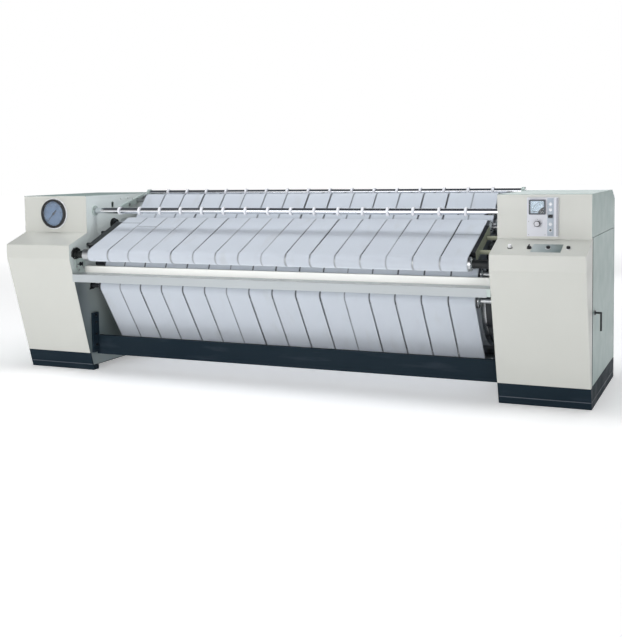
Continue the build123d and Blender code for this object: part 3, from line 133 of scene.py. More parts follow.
# Plinths and cross beams: welded boxes and channels of 5 mm plate in dark navy paint. A bead of lighter
# paint runs where each box stands on its foot rails; bolts hold the posts to the end plates.
class Finish:
    """A material with its node tree, and short ways to wire it."""

    def __init__(self, name, base, roughness, metallic=0.0):
        self.material = bpy.data.materials.new(name)
        self.material.use_nodes = True
        self.tree = self.material.node_tree
        self.shader = self.tree.nodes["Principled BSDF"]
        self.shader.inputs["Base Color"].default_value = base
        self.shader.inputs["Roughness"].default_value = roughness
        self.shader.inputs["Metallic"].default_value = metallic
        self.pattern = self.node("TexCoord").outputs["Object"]

    def node(self, kind, **values):
        made = self.tree.nodes.new("ShaderNode" + kind)
        for key, value in values.items():
            setattr(made, key, value)
        return made

    def link(self, source, target):
        self.tree.links.new(source, target)

    def noise(self, scale, stretch=(1, 1, 1), detail=3.0):
        """Noise with its grain stretched along the axes."""
        place = self.node("Mapping")
        place.inputs["Scale"].default_value = stretch
        self.link(self.pattern, place.inputs["Vector"])
        made = self.node("TexNoise")
        made.inputs["Scale"].default_value = scale
        made.inputs["Detail"].default_value = detail
        self.link(place.outputs["Vector"], made.inputs["Vector"])
        return made.outputs["Fac"]

    def spread(self, value, from_low, from_high, low, high):
        """A value moved from one range to another."""
        made = self.node("MapRange")
        for key, number in zip(("From Min", "From Max", "To Min", "To Max"), (from_low, from_high, low, high)):
            made.inputs[key].default_value = number
        self.link(value, made.inputs["Value"])
        return made.outputs["Result"]

    def times(self, first, second):
        """Two values multiplied."""
        made = self.node("Math", operation="MULTIPLY")
        self.link(first, made.inputs[0])
        self.link(second, made.inputs[1])
        return made.outputs[0]

    def tint(self, share, other):
        """Mixes another colour into the base colour."""
        mix = self.node("Mix", data_type="RGBA")
        before = self.shader.inputs["Base Color"]
        if before.is_linked:
            self.link(before.links[0].from_socket, mix.inputs["A"])
        else:
            mix.inputs["A"].default_value = before.default_value
        mix.inputs["B"].default_value = other
        self.link(share, mix.inputs["Factor"])
        self.link(mix.outputs["Result"], before)

    def gloss(self, value, low, high):
        """Roughness that varies with a 0 to 1 value."""
        self.link(self.spread(value, 0.3, 0.7, low, high), self.shader.inputs["Roughness"])

    def relief(self, value, depth):
        """Raised texture; each one adds to those before."""
        bump = self.node("Bump")
        bump.inputs["Distance"].default_value = depth
        bump.inputs["Strength"].default_value = 1.0
        normal = self.shader.inputs["Normal"]
        if normal.is_linked:
            self.link(normal.links[0].from_socket, bump.inputs["Normal"])
        self.link(value, bump.inputs["Height"])
        self.link(bump.outputs["Normal"], normal)

    def axis(self, letter):
        """The object's own X, Y or Z, in metres."""
        split = self.node("SeparateXYZ")
        self.link(self.pattern, split.inputs[0])
        return split.outputs[letter]


def sheet_paint(name, base, darker, low_gloss, high_gloss, waviness, cloud=0.3, grime_and_shade=0.35, coat=0.12, peel=0.00012):
    """Sprayed paint on sheet metal: cloudy tint, orange peel, a slightly wavy sheet, and dirt with painted shade that
    darkens it lower down.
    """
    paint = Finish(name, base, low_gloss)
    paint.tint(paint.spread(paint.noise(1.7, detail=4.0), 0.35, 0.7, 0.0, cloud), darker)
    # dirt and painted shade: the paint darkens towards the floor, from 0.75 m down
    dust_and_shade = paint.times(paint.spread(paint.axis("Z"), 0.75, 0.0, 0.0, grime_and_shade), paint.noise(7.0, (1, 1, 0.35), 6.0))
    paint.tint(dust_and_shade, darker)
    paint.gloss(paint.noise(9.0, detail=5.0), low_gloss, high_gloss)
    paint.relief(paint.noise(2.6, detail=1.0), waviness)
    paint.relief(paint.noise(420.0, detail=2.0), peel)
    paint.shader.inputs["Coat Weight"].default_value = coat
    paint.shader.inputs["Coat Roughness"].default_value = 0.12
    return paint


def dress(finish, *names):
    """Gives CAD nodes their finish."""
    for name in names:
        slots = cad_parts[name].data.materials
        if len(slots) == 0:
            slots.append(finish.material)
        for index in range(len(slots)):
            slots[index] = finish.material


def piece(name, shape, finish, body, sharp=35.0):
    """Turns a finished bmesh into a piece that rides on a body."""
    bmesh.ops.remove_doubles(shape, verts=shape.verts, dist=1e-6)
    bmesh.ops.recalc_face_normals(shape, faces=shape.faces)
    for face in shape.faces:
        face.smooth = True
    for edge in shape.edges:
        if len(edge.link_faces) == 2 and edge.calc_face_angle(0.0) > math.radians(sharp):
            edge.smooth = False
    mesh = bpy.data.meshes.new(name)
    shape.to_mesh(mesh)
    shape.free()
    made = bpy.data.objects.new(name, mesh)
    bpy.context.collection.objects.link(made)
    mesh.materials.append(finish.material)
    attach(made, body)
    return made


def facing(place, axis):
    """The matrix that stands a piece made along Z on a place, along an axis."""
    turn = Vector(axis).to_track_quat("Z", "Y").to_matrix().to_4x4()
    return Matrix.Translation(place) @ turn


def turned(shape, profile, place, axis, steps=40):
    """A lathe part: a line of (radius, height) points spun round its axis."""
    stand = facing(place, axis)
    line = [shape.verts.new(stand @ Vector((radius, 0, rise))) for radius, rise in profile]
    edges = [shape.edges.new(pair) for pair in zip(line, line[1:])]
    bmesh.ops.spin(
        shape, geom=line + edges, cent=Vector(place), axis=Vector(axis), angle=math.tau, steps=steps,
        use_merge=True,
    )


def hexagon_bolt(shape, place, axis, across, rise, washer=True):
    """A bolt head with its washer."""
    if washer:
        wide = across * 0.62
        thin = rise * 0.22
        turned(shape, [(0, 0), (wide, 0), (wide, thin), (0, thin)], place, axis, 20)
    head = bmesh.ops.create_cone(
        shape, cap_ends=True, segments=6, radius1=across / 2, radius2=across / 2, depth=rise,
        matrix=facing(Vector(place) + Vector(axis) * rise / 2, axis),
    )["verts"]
    top = [e for e in {e for v in head for e in v.link_edges} if all(
        (v.co - Vector(place)).dot(Vector(axis)) > rise * 0.9 for v in e.verts)]
    bmesh.ops.bevel(
        shape, geom=top, offset=across * 0.06, affect="EDGES", segments=1, profile=0.5, material=-1
    )


def bar(shape, low, high, edge=0.0):
    """A straight bar between two corners, with its edges broken."""
    low, high = Vector(low), Vector(high)
    made = bmesh.ops.create_cube(
        shape, size=1.0, matrix=Matrix.Translation((low + high) / 2) @ Matrix.Diagonal((*(high - low), 1.0))
    )["verts"]
    if edge:
        rims = list({e for v in made for e in v.link_edges})
        bmesh.ops.bevel(
            shape, geom=rims, offset=edge, affect="EDGES", segments=2, profile=0.5, material=-1
        )


floor_paint = Finish("studio_floor", (0.9, 0.9, 0.9, 1), 0.9)
distance = floor_paint.node("VectorMath", operation="LENGTH")
floor_paint.link(floor_paint.pattern, distance.inputs[0])
floor_paint.link(floor_paint.spread(distance.outputs["Value"], 1.2, 12.0, 0.34, 0.92),
                 floor_paint.shader.inputs["Emission Strength"])
floor_paint.shader.inputs["Emission Color"].default_value = (1, 1, 1, 1)
ground_mesh.materials.append(floor_paint.material)

plinth_paint = sheet_paint("plinth_paint", colour(27, 40, 50), colour(38, 50, 58), 0.45, 0.62, 0.0012, 0.5, 0.4, 0.0)
rubbed_share = plinth_paint.spread(plinth_paint.noise(3.0, (1, 1, 6), 5.0), 0.55, 0.8, 0.0, 0.4)
plinth_paint.tint(rubbed_share, colour(62, 70, 80))
plinth_paint.shader.inputs["Specular IOR Level"].default_value = 0.04
dress(plinth_paint, "base_left", "base_right", "front_beam", "rear_beam")

bead_paint = sheet_paint("bead_paint", colour(74, 84, 96), colour(40, 47, 58), 0.4, 0.6, 0.001)
rail_top, bead_half = 0.046, 0.003
bottom, top = rail_top - bead_half, rail_top + bead_half
for side, node in ((-1, "base_left"), (1, "base_right")):
    low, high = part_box(node)
    outer = high.x if side > 0 else low.x
    near, far = sorted((outer, outer + side * 0.0016))
    bead = bmesh.new()
    bar(bead, (low.x, low.y + 0.0235, bottom), (high.x, low.y + 0.0285, top), 0.001)
    bar(bead, (near, low.y + 0.03, bottom), (far, high.y - 0.01, top), 0.0006)
    piece(f"{node}_bead", bead, bead_paint, "frame")

black_bolt = Finish("black_bolt", colour(38, 41, 46), 0.38, 0.8)
black_bolt.gloss(black_bolt.noise(60.0), 0.3, 0.5)
black_bolt.relief(black_bolt.noise(500.0), 0.0001)
beam_low, beam_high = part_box("front_beam")
inner_x = beam_high.x
bolts = bmesh.new()
for side in (-1, 1):
    for lift in (0.19, 0.27, 0.36, 0.41):
        hexagon_bolt(bolts, (side * (inner_x - 0.016), beam_low.y + 0.036, lift), (-side, 0, 0), 0.017, 0.008)
piece("post_bolts", bolts, black_bolt, "frame")


# End plates: 10 mm steel plate, machined for every shaft, painted pale grey-green with the brackets, stay
# bars, rod flanges and tension discs that bolt to their belt side.
fitting_paint = sheet_paint("fitting_paint", colour(186, 199, 195), colour(158, 172, 169), 0.3, 0.45, 0.001)
dress(fitting_paint, "plate_fittings", "tray_brackets")
# painted light and shade on the end plates: a lighter copy of the pale grey-green for their lit upper faces, darker
# towards the bottom, and darkest under the tray near the front edge as the tray's painted shadow
lit_plate_paint = sheet_paint("lit_plate_paint", colour(230, 238, 236), colour(206, 217, 214), 0.3, 0.45, 0.001)
lit_plate_paint.tint(lit_plate_paint.spread(lit_plate_paint.axis("Z"), 1.06, 0.30, 0.0, 0.85), colour(92, 108, 110))
tray_shadow_band = lit_plate_paint.spread(lit_plate_paint.axis("Z"), 0.76, 0.66, 0.0, 0.8)
tray_shadow_front = lit_plate_paint.spread(lit_plate_paint.axis("Y"), -0.36, -0.56, 0.0, 1.0)
lit_plate_paint.tint(lit_plate_paint.times(tray_shadow_band, tray_shadow_front), colour(40, 52, 62))
dress(lit_plate_paint, "end_plate_left", "end_plate_right")
bed_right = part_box("ironing_belts")[1].x + 0.0280
# painted shade: the feed bed is near-black for the dark space behind the feed belts, with a light olive strip at its
# right end
bed_shade_black = Finish("bed_shade_black", colour(30, 33, 36), 0.42)
bed_shade_black.tint(bed_shade_black.spread(bed_shade_black.axis("X"), bed_right - 0.0006, bed_right - 0.0002, 0.0, 1.0),
               colour(150, 152, 132))
bed_shade_black.gloss(bed_shade_black.noise(40.0), 0.34, 0.52)
bed_shade_black.relief(bed_shade_black.noise(300.0), 0.0001)
dress(bed_shade_black, "feed_bed")

steel_bolt = Finish("steel_bolt", colour(168, 170, 172), 0.32, 1.0)
steel_bolt.gloss(steel_bolt.noise(90.0), 0.24, 0.42)
steel_bolt.relief(steel_bolt.noise(600.0), 0.00008)


def axis_of(node):
    """Depth, height and radius of a round node that lies along X, from its box."""
    low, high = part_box(node)
    return (low.y + high.y) / 2, (low.z + high.z) / 2, (high.y - low.y) / 2


def bolt_ring(shape, centre, axis, radius, angles, across, rise, washer=True):
    """Like bolts on a circle: 0 degrees is to the rear, or to the right where the axis runs to the rear."""
    x, y, z = centre
    for angle in angles:
        along, up = radius * math.cos(math.radians(angle)), radius * math.sin(math.radians(angle))
        place = (x + along, y, z + up) if axis[1] else (x, y + along, z + up)
        hexagon_bolt(shape, place, axis, across, rise, washer)


feed_y, feed_z, feed_radius = axis_of("feed_roller_front")
top_y, top_z = axis_of("top_return_roller")[:2]
disc_y, disc_z = feed_y + 0.050, feed_z - 0.075
stay_slope = math.radians(14.2)
face_y = -0.4455      # the cabinets' upper front faces
front_rod_y, front_rod_z = 0.107 + face_y, 1.187
rear_rod_y, rear_rod_z = 0.840 + face_y, 1.297
fasteners = bmesh.new()
for side in (-1, 1):
    away = (-side, 0, 0)
    disc_x = side * inner_x - side * 0.007
    face_x = side * inner_x - side * 0.008
    bolt_ring(fasteners, (disc_x, disc_y, disc_z), away, 0.045, (200, 250, 320), 0.014, 0.007)
    for along in (-0.225, -0.12, 0.085):
        place = (face_x, top_y + along * math.cos(stay_slope), top_z + along * math.sin(stay_slope))
        hexagon_bolt(fasteners, place, away, 0.017, 0.008)
    bolt_ring(fasteners, (face_x, front_rod_y, front_rod_z), away, 0.0295, (35, 155, 275), 0.008, 0.004, washer=False)
    for drop in (0.058, 0.04):
        hexagon_bolt(fasteners, (face_x, rear_rod_y, rear_rod_z - drop), away, 0.012, 0.006)
piece("plate_bolts", fasteners, steel_bolt, "frame")

adjusters = bmesh.new()
for side in (-1, 1):
    face_x = side * (inner_x - 0.007)
    turned(
        adjusters,
        [(0, 0.0), (0.015, 0.0), (0.015, 0.003), (0.009, 0.004), (0.009, 0.014), (0.0075, 0.016), (0, 0.016)],
        (face_x, disc_y, disc_z), (-side, 0, 0), 32,
    )
    near, far = sorted((face_x, face_x - side * 0.005))
    bar(adjusters, (near, disc_y - 0.036, disc_z - 0.003), (far, disc_y - 0.020, disc_z + 0.003), 0.001)
    bar(adjusters, (near, disc_y + 0.022, disc_z - 0.018), (far, disc_y + 0.027, disc_z + 0.014), 0.001)
piece("tension_adjusters", adjusters, black_bolt, "frame")


# Cylinder: a ground and polished steel shell with welded heads; linen is ironed on its bright surface.
# Each head is held by a ring of bolts.
def metal(name, base, low_gloss, high_gloss, grain, grain_depth, stretch=(1, 1, 1), spots=0.25):
    """Bare metal: cloudy polish, a directional grain from grinding or turning, and faint spots."""
    bare = Finish(name, base, low_gloss, 1.0)
    bare.gloss(bare.noise(5.0, stretch, 5.0), low_gloss, high_gloss)
    dull = tuple(channel * 0.6 for channel in base[:3]) + (1.0,)
    bare.tint(bare.spread(bare.noise(11.0, detail=6.0), 0.55, 0.75, 0.0, spots), dull)
    bare.relief(bare.noise(grain, stretch, 2.0), grain_depth)
    return bare


polished_steel = metal("polished_steel", colour(196, 198, 200), 0.16, 0.3, 60.0, 0.00012, (8.0, 0.3, 0.3))
# painted shade: beyond the belts the shell's ends and the heads turn dark and hardly metallic, for the deep shade
# beside the cabinets
shell_end, head_start = 1.412, 1.414
shaded_ends = polished_steel.node("Math", operation="ABSOLUTE")
polished_steel.link(polished_steel.axis("X"), shaded_ends.inputs[0])
polished_steel.tint(polished_steel.spread(shaded_ends.outputs[0], shell_end, head_start, 0.0, 1.0), colour(34, 37, 42))
polished_steel.link(polished_steel.spread(shaded_ends.outputs[0], shell_end, head_start, 1.0, 0.2),
                    polished_steel.shader.inputs["Metallic"])
dress(polished_steel, "ironing_cylinder")

drum_y, drum_z = axis_of("ironing_cylinder")[:2]
head_x = inner_x - 0.047
sixteenths = [index * 22.5 for index in range(16)]
head_bolts = bmesh.new()
for side in (-1, 1):
    bolt_ring(head_bolts, (side * head_x, drum_y, drum_z), (side, 0, 0), 0.33, sixteenths, 0.019, 0.009)
piece("head_bolts", head_bolts, black_bolt, "cylinder")


# Rollers: drawn steel tube on turned shafts, each in two flanged cast bearings. The front feed roller's
# thick shaft wears a black sleeve at both ends and the roller has bright turned end caps.
roller_steel = metal("roller_steel", colour(188, 190, 192), 0.25, 0.42, 90.0, 0.00015, (10.0, 1.0, 1.0))
roller_bodies = {
    f"{word}_roller": f"{word}_roller_turns"
    for word in ("nip", "exit", "front_return", "lower_front", "lower_rear", "rear_return", "top_return")
}
roller_bodies.update(feed_roller_front="feed_front", feed_roller_rear="feed_rear")
dress(roller_steel, *roller_bodies)
# painted shade: the exit and front return rollers, in shade under the tray, are drawn black except their bright right
# ends
roller_shade_black = Finish("roller_shade_black", colour(34, 37, 41), 0.4)
black_end, steel_start = 1.400, 1.401      # black as painted shade, with a bright steel right end
turned_steel = roller_shade_black.spread(roller_shade_black.axis("X"), black_end, steel_start, 0.0, 1.0)
roller_shade_black.tint(turned_steel, colour(188, 190, 192))
roller_shade_black.link(turned_steel, roller_shade_black.shader.inputs["Metallic"])
roller_shade_black.gloss(roller_shade_black.noise(30.0, (6, 1, 1)), 0.3, 0.5)
roller_shade_black.relief(roller_shade_black.noise(200.0), 0.0001)
dress(roller_shade_black, "exit_roller", "front_return_roller")


def shaft_of(node):
    """Radius of a roller's shaft."""
    return 0.022 if node == "feed_roller_front" else 0.015


belts_low, belts_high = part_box("ironing_belts")
roller_ends = ((-1, belts_low.x - 0.015), (1, belts_high.x + 0.015))
bright_cap = metal("bright_cap", colour(222, 224, 228), 0.12, 0.25, 70.0, 0.0001, (1.0, 6.0, 6.0), 0.1)
for node, body in roller_bodies.items():
    y, z, radius = axis_of(node)
    shaft = shaft_of(node)
    profile = [
        (radius - 0.001, 0.0), (radius - 0.001, 0.002), (radius - 0.004, 0.004), (radius - 0.012, 0.004),
        (radius - 0.014, 0.001), (shaft + 0.014, 0.001), (shaft + 0.012, 0.005), (shaft + 0.004, 0.010),
        (shaft + 0.0005, 0.010), (shaft + 0.0005, 0.0), (radius - 0.001, 0.0),
    ]
    caps = bmesh.new()
    for side, end in roller_ends:
        turned(caps, profile, (end, y, z), (side, 0, 0))
    piece(f"{node}_caps", caps, bright_cap, body)

iron = Finish("bearing_iron", colour(30, 33, 34), 0.45, 0.4)
iron.tint(iron.spread(iron.noise(30.0, detail=6.0), 0.5, 0.75, 0.0, 0.5), colour(66, 68, 66))
iron.gloss(iron.noise(40.0), 0.32, 0.6)
iron.relief(iron.noise(190.0, detail=4.0), 0.0005)
dress(iron, "shaft_bearings")

sleeves = bmesh.new()
for side, end in roller_ends:
    reach = abs(end) + 0.012
    length = inner_x - (0.030 if side < 0 else 0.001) - reach
    profile = [
        (0.0223, 0), (0.0285, 0), (0.0285, 0.012), (0.0262, 0.014), (0.0262, length - 0.004),
        (0.0245, length), (0.0223, length), (0.0223, 0),
    ]
    turned(sleeves, profile, (side * reach, feed_y, feed_z), (side, 0, 0), 36)
piece("feed_shaft_sleeves", sleeves, iron, "feed_front")

bearing_bolts = bmesh.new()
for node in roller_bodies:
    y, z = axis_of(node)[:2]
    feed = node.startswith("feed")
    reach, across = (shaft_of(node) + 0.012, 0.0045) if feed else (shaft_of(node) + 0.024, 0.0075)
    for side in (-1, 1):
        open_side = side < 0 and feed
        face_x = side * inner_x + (0.008 if open_side else side * 0.018)
        way = (1, 0, 0) if open_side else (side, 0, 0)
        bolt_ring(bearing_bolts, (face_x, y, z), way, reach, (45, 135, 225, 315), across, 0.005, washer=False)
piece("bearing_bolts", bearing_bolts, steel_bolt, "frame")


def slab(shape, outline, depth):
    """A flat plate: an outline of points that is given a thickness."""
    flat = shape.faces.new([shape.verts.new(point) for point in outline])
    grown = bmesh.ops.extrude_face_region(shape, geom=[flat])["geom"]
    bmesh.ops.translate(shape, verts=[v for v in grown if isinstance(v, bmesh.types.BMVert)], vec=depth)


# take-up arm: a black casting that hooks over the front feed bearing and reaches back and down on each side
arms = bmesh.new()
for side in (-1, 1):
    slab(arms, [(side * (inner_x - 0.001), feed_y + y, feed_z + z) for y, z in (
        (-0.047, -0.016), (-0.044, 0.022), (-0.022, 0.045), (0.014, 0.049), (0.044, 0.034), (0.062, 0.006),
        (0.058, -0.022), (0.046, -0.026), (0.044, -0.004), (0.032, 0.020), (0.010, 0.0372), (-0.020, 0.0325),
        (-0.0372, 0.010), (-0.038, -0.012),
    )], (-side * 0.012, 0, 0))
piece("take_up_arms", arms, iron, "frame")

# diamond flanges round the front return roller's shaft, on the plates' inner faces
flanges = bmesh.new()
flange_y, flange_z = axis_of("front_return_roller")[:2]
long_y, long_z = 0.8, 0.6      # the way that a flange's long side points
for side in (-1, 1):
    face_x = side * (inner_x - 0.0005)
    outline = []
    for index in range(18):
        turn = math.tau * index / 18
        along, across = (0.046 if index % 9 == 0 else 0.026) * math.cos(turn), 0.026 * math.sin(turn)
        outline.append((face_x, flange_y + along * long_y - across * long_z,
                        flange_z + along * long_z + across * long_y))
    slab(flanges, outline, (-side * 0.008, 0, 0))
    for along in (-0.034, 0.034):
        place = (face_x - side * 0.008, flange_y + along * long_y, flange_z + along * long_z)
        hexagon_bolt(flanges, place, (-side, 0, 0), 0.010, 0.006, washer=False)
piece("inner_flanges", flanges, iron, "frame")


# Ironing and feed belts: sixteen endless bands of white canvas side by side, each 3 mm thick and joined by
# a sewn seam. They are pulled tight round their rollers, and wander a little, so the gaps differ.
canvas = Finish("belt_canvas", colour(203, 210, 219), 0.82)
canvas.pattern = canvas.node("UVMap").outputs["UV"]


def threads(direction, count):
    """The weave's ribs in one direction."""
    wave = canvas.node("TexWave", wave_type="BANDS", bands_direction=direction)
    wave.inputs["Scale"].default_value = count
    wave.inputs["Distortion"].default_value = 0.6
    canvas.link(canvas.pattern, wave.inputs["Vector"])
    return wave.outputs["Fac"]


canvas.tint(canvas.spread(canvas.noise(2.2, (2.5, 0.8, 1), 4.0), 0.35, 0.75, 0.0, 0.55), colour(200, 206, 216))
canvas.tint(canvas.spread(canvas.noise(9.0, (1.0, 0.35, 1), 7.0), 0.58, 0.8, 0.0, 0.28), colour(176, 176, 172))
# the belts' edges darken: wear together with painted shade at the gaps between belts
edge_wear_and_shade = canvas.node("Attribute", attribute_name="edge_wear_and_shade")
canvas.tint(canvas.times(edge_wear_and_shade.outputs["Fac"], canvas.noise(5.0, (0.2, 1.0, 1), 6.0)), colour(74, 78, 86))
canvas.gloss(canvas.noise(14.0, detail=4.0), 0.72, 0.9)
canvas.relief(canvas.times(threads("X", 190.0), threads("Y", 170.0)), 0.00045)
canvas.relief(canvas.noise(24.0, (1.0, 0.5, 1), 4.0), 0.0008)
canvas.shader.inputs["Sheen Weight"].default_value = 0.25
canvas.shader.inputs["Sheen Roughness"].default_value = 0.5

belt_count, belt_wall, belt_gap = 16, 0.003, 0.0048
belt_play, drum_play = 0.0004, 0.0006      # the canvas clears every roller, and the cylinder a little more
rollers_of = {
    "ironing_belts": ["nip_roller", "ironing_cylinder", "exit_roller", "front_return_roller",
                      "lower_front_roller", "lower_rear_roller", "rear_return_roller", "top_return_roller"],
    "feed_belts": ["feed_roller_rear", "feed_roller_front"],
}


def lanes_of(node):
    """The first belt's left edge, and the pitch from one belt to the next."""
    low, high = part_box(node)
    return low.x, (high.x - low.x + belt_gap) / belt_count


def straight_run(first, second):
    """Ends of the straight line that touches two circles of (y, z, radius)."""
    (y1, z1, r1), (y2, z2, r2) = first, second
    span = math.hypot(y2 - y1, z2 - z1)
    along = ((y2 - y1) / span, (z2 - z1) / span)
    lean = (r2 - r1) / span
    rise = math.sqrt(1 - lean * lean)
    normal = (lean * along[0] - rise * along[1], lean * along[1] + rise * along[0])
    return (y1 - r1 * normal[0], z1 - r1 * normal[1]), (y2 - r2 * normal[0], z2 - r2 * normal[1])


def legs_of(node):
    """The belt's middle line, roller by roller: a circle, the turn round it and the straight run that leaves it.
    The cylinder lies outside the loop, so its radius and its turn are negative."""
    stops = []
    for roller in rollers_of[node]:
        y, z, radius = axis_of(roller)
        outside = roller == "ironing_cylinder"
        rest = belt_play + (drum_play if outside else 0.0) + belt_wall / 2
        stops.append((y, z, -radius - rest if outside else radius + rest))
    runs = [straight_run(a, b) for a, b in zip(stops, stops[1:] + stops[:1])]
    legs = []
    for (y, z, radius), arriving, leaving in zip(stops, runs[-1:] + runs[:-1], runs):
        first = math.atan2(arriving[1][1] - z, arriving[1][0] - y)
        last = math.atan2(leaving[0][1] - z, leaving[0][0] - y)
        turn = (last - first) % math.tau if radius > 0 else -((first - last) % math.tau)
        legs.append((y, z, radius, turn, *leaving))
    return legs


def belt(name, index, node):
    """One endless band: a row of points across it is carried round the rollers and along the straight runs."""
    legs = legs_of(node)
    whole = 0.0
    for _, _, radius, turn, start, stop in legs:
        whole += abs(radius * turn)
        whole += math.hypot(stop[0] - start[0], stop[1] - start[1])
    first_left, pitch = lanes_of(node)
    left, width = first_left + index * pitch, pitch - belt_gap
    feed = node == "feed_belts"
    drift = 0.0 if index in (0, belt_count - 1) else 0.0017 * math.sin(index * 5.1 + (1.7 if feed else 0.0))
    band = bmesh.new()
    distance = band.verts.layers.float.new("distance")
    # wear and painted shade along each belt's edges, stronger on the ironing belts
    edge_wear_and_shade = band.verts.layers.float.new("edge_wear_and_shade")
    row = []
    for share in (0, 0.014, 0.04, 0.25, 0.5, 0.75, 0.96, 0.986, 1):
        row.append(band.verts.new((left + width * share, *legs[-1][5])))
        row[-1][edge_wear_and_shade] = max(0.0, abs(share - 0.5) - 0.46) / 0.04 * (0.7 if feed else 1.3)
    edges = [band.edges.new(pair) for pair in zip(row, row[1:])]
    travelled = 0.0

    def advance(edges, length, move):
        """Carries the row on by one step and notes how far it has come."""
        made = bmesh.ops.extrude_edge_only(band, edges=edges)["geom"]
        points = [v for v in made if isinstance(v, bmesh.types.BMVert)]
        move(points)
        for point in points:
            point[distance] = travelled + length
        return [e for e in made if isinstance(e, bmesh.types.BMEdge)]

    for y, z, radius, turn, (y1, z1), (y2, z2) in legs:
        steps = max(2, round(abs(turn) / math.radians(9 if radius > 0 else 4)))
        spin = Matrix.Rotation(turn / steps, 3, "X")
        for _ in range(steps):
            length = abs(radius * turn) / steps
            edges = advance(edges, length, lambda points: bmesh.ops.rotate(
                band, verts=points, cent=(0, y, z), matrix=spin))
            travelled += length
        run = math.hypot(y2 - y1, z2 - z1)
        steps = max(1, round(run / 0.06))
        for _ in range(steps):
            edges = advance(edges, run / steps, lambda points: bmesh.ops.translate(
                band, verts=points, vec=(0, (y2 - y1) / steps, (z2 - z1) / steps)))
            travelled += run / steps

    uv = band.loops.layers.uv.new("UVMap")
    for face in band.faces:
        for corner in face.loops:
            across = corner.vert.co.x - left
            corner[uv].uv = (across + index * 0.37, corner.vert[distance] + index * 1.9)
    bmesh.ops.remove_doubles(band, verts=band.verts, dist=1e-5)
    phase = index * 2.4 + (1.0 if feed else 0.0)
    for point in band.verts:
        turnround = math.tau * point[distance] / whole
        wander = 0.0009 * math.sin(turnround + phase) + 0.0006 * math.sin(3 * turnround + 2.1 * phase)
        point.co.x += drift + wander
    made = piece(name, band, canvas, "frame", sharp=80)
    thick = made.modifiers.new("cloth", "SOLIDIFY")
    thick.thickness = belt_wall
    thick.offset = 0.0
    soft = made.modifiers.new("edges", "BEVEL")
    soft.width = 0.0009
    soft.segments = 2
    soft.limit_method = "ANGLE"
    soft.angle_limit = math.radians(60)
    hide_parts(node)


for index in range(belt_count):
    belt(f"ironing_belt_{index + 1:02d}", index, "ironing_belts")
    belt(f"feed_belt_{index + 1:02d}", index, "feed_belts")

# sewn seams: a narrow folded strip across a feed belt, with a dark line of thread along both its edges
seam_thread = Finish("seam_thread", colour(112, 116, 122), 0.9)
seam_thread.relief(seam_thread.noise(900.0, (1, 0.2, 1)), 0.0004)
behind_y, behind_z = axis_of("feed_roller_rear")[:2]
bed_slope = math.atan2(behind_z - feed_z, behind_y - feed_y)
canvas_top = feed_radius + belt_play + belt_wall
feed_left, feed_pitch = lanes_of("feed_belts")
for index, along in ((0, 0.432), (1, 0.372), (15, 0.305)):
    seam = bmesh.new()
    for near in (along, along + 0.011):
        bar(seam, (0.002, near, canvas_top - 0.0006),
            (feed_pitch - belt_gap - 0.002, near + 0.0022, canvas_top + 0.0007), 0.0004)
    lane = Matrix.Translation((feed_left + index * feed_pitch, feed_y, feed_z))
    bmesh.ops.transform(seam, matrix=lane @ Matrix.Rotation(bed_slope, 4, "X"), verts=seam.verts)
    piece(f"feed_seam_{index + 1:02d}", seam, seam_thread, "frame")


# Delivery tray: folded white-painted sheet between the end plates, on a block at each end. The cream riser
# beam stands on it, and ironed linen slides over its top to the front.
tray_paint = sheet_paint("tray_paint", colour(182, 188, 191), colour(171, 177, 180), 0.3, 0.42, 0.0008)
riser_paint = sheet_paint("riser_paint", colour(251, 251, 246), colour(238, 238, 232), 0.3, 0.42, 0.0008)
dress(tray_paint, "delivery_tray")
dress(riser_paint, "riser_beam")


# Divider rods: two bright chromed tubes across the machine, each carrying a white nylon ring over every
# belt, which keeps the pieces of linen apart and marks the lanes.
chrome = metal("rod_chrome", colour(226, 228, 232), 0.05, 0.14, 120.0, 0.00003, (0.3, 4.0, 4.0), 0.06)
dress(chrome, "divider_rods")
nylon = Finish("ring_nylon", colour(236, 237, 242), 0.38)
nylon.tint(nylon.spread(nylon.noise(40.0), 0.5, 0.8, 0.0, 0.3), colour(214, 216, 222))
nylon.relief(nylon.noise(260.0), 0.0001)
nylon.shader.inputs["Subsurface Weight"].default_value = 0.15
nylon.shader.inputs["Subsurface Radius"].default_value = (0.004, 0.004, 0.004)
rings = bmesh.new()
for node, y, z, rod in (
    ("feed_belts", front_rod_y, front_rod_z, 0.021), ("ironing_belts", rear_rod_y, rear_rod_z, 0.020),
):
    left, pitch = lanes_of(node)
    profile = [(rod + 0.0001, -0.0085), (rod + 0.0065, -0.0085), (rod + 0.008, -0.007), (rod + 0.008, 0.007),
               (rod + 0.0065, 0.0085), (rod + 0.0001, 0.0085), (rod + 0.0001, -0.0085)]
    for index in range(belt_count):
        turned(rings, profile, (left + index * pitch + (pitch - belt_gap) / 2, y, z), (1, 0, 0))
rings_made = piece("divider_ring_set", rings, nylon, "frame")
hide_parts("divider_rings")


# Cabinet covers: folded sheet steel over each end of the machine. The fronts are sprayed ivory, the hoods,
# rear covers, rear guard and side doors pale grey-green, drawn in a darker copy of that paint as painted
# shade for their sides; pan-head screws hold the rear panels.
cream_paint = sheet_paint(
    "cream_paint", colour(205, 206, 200), colour(194, 195, 189), 0.3, 0.44, 0.0006, peel=0.00005)
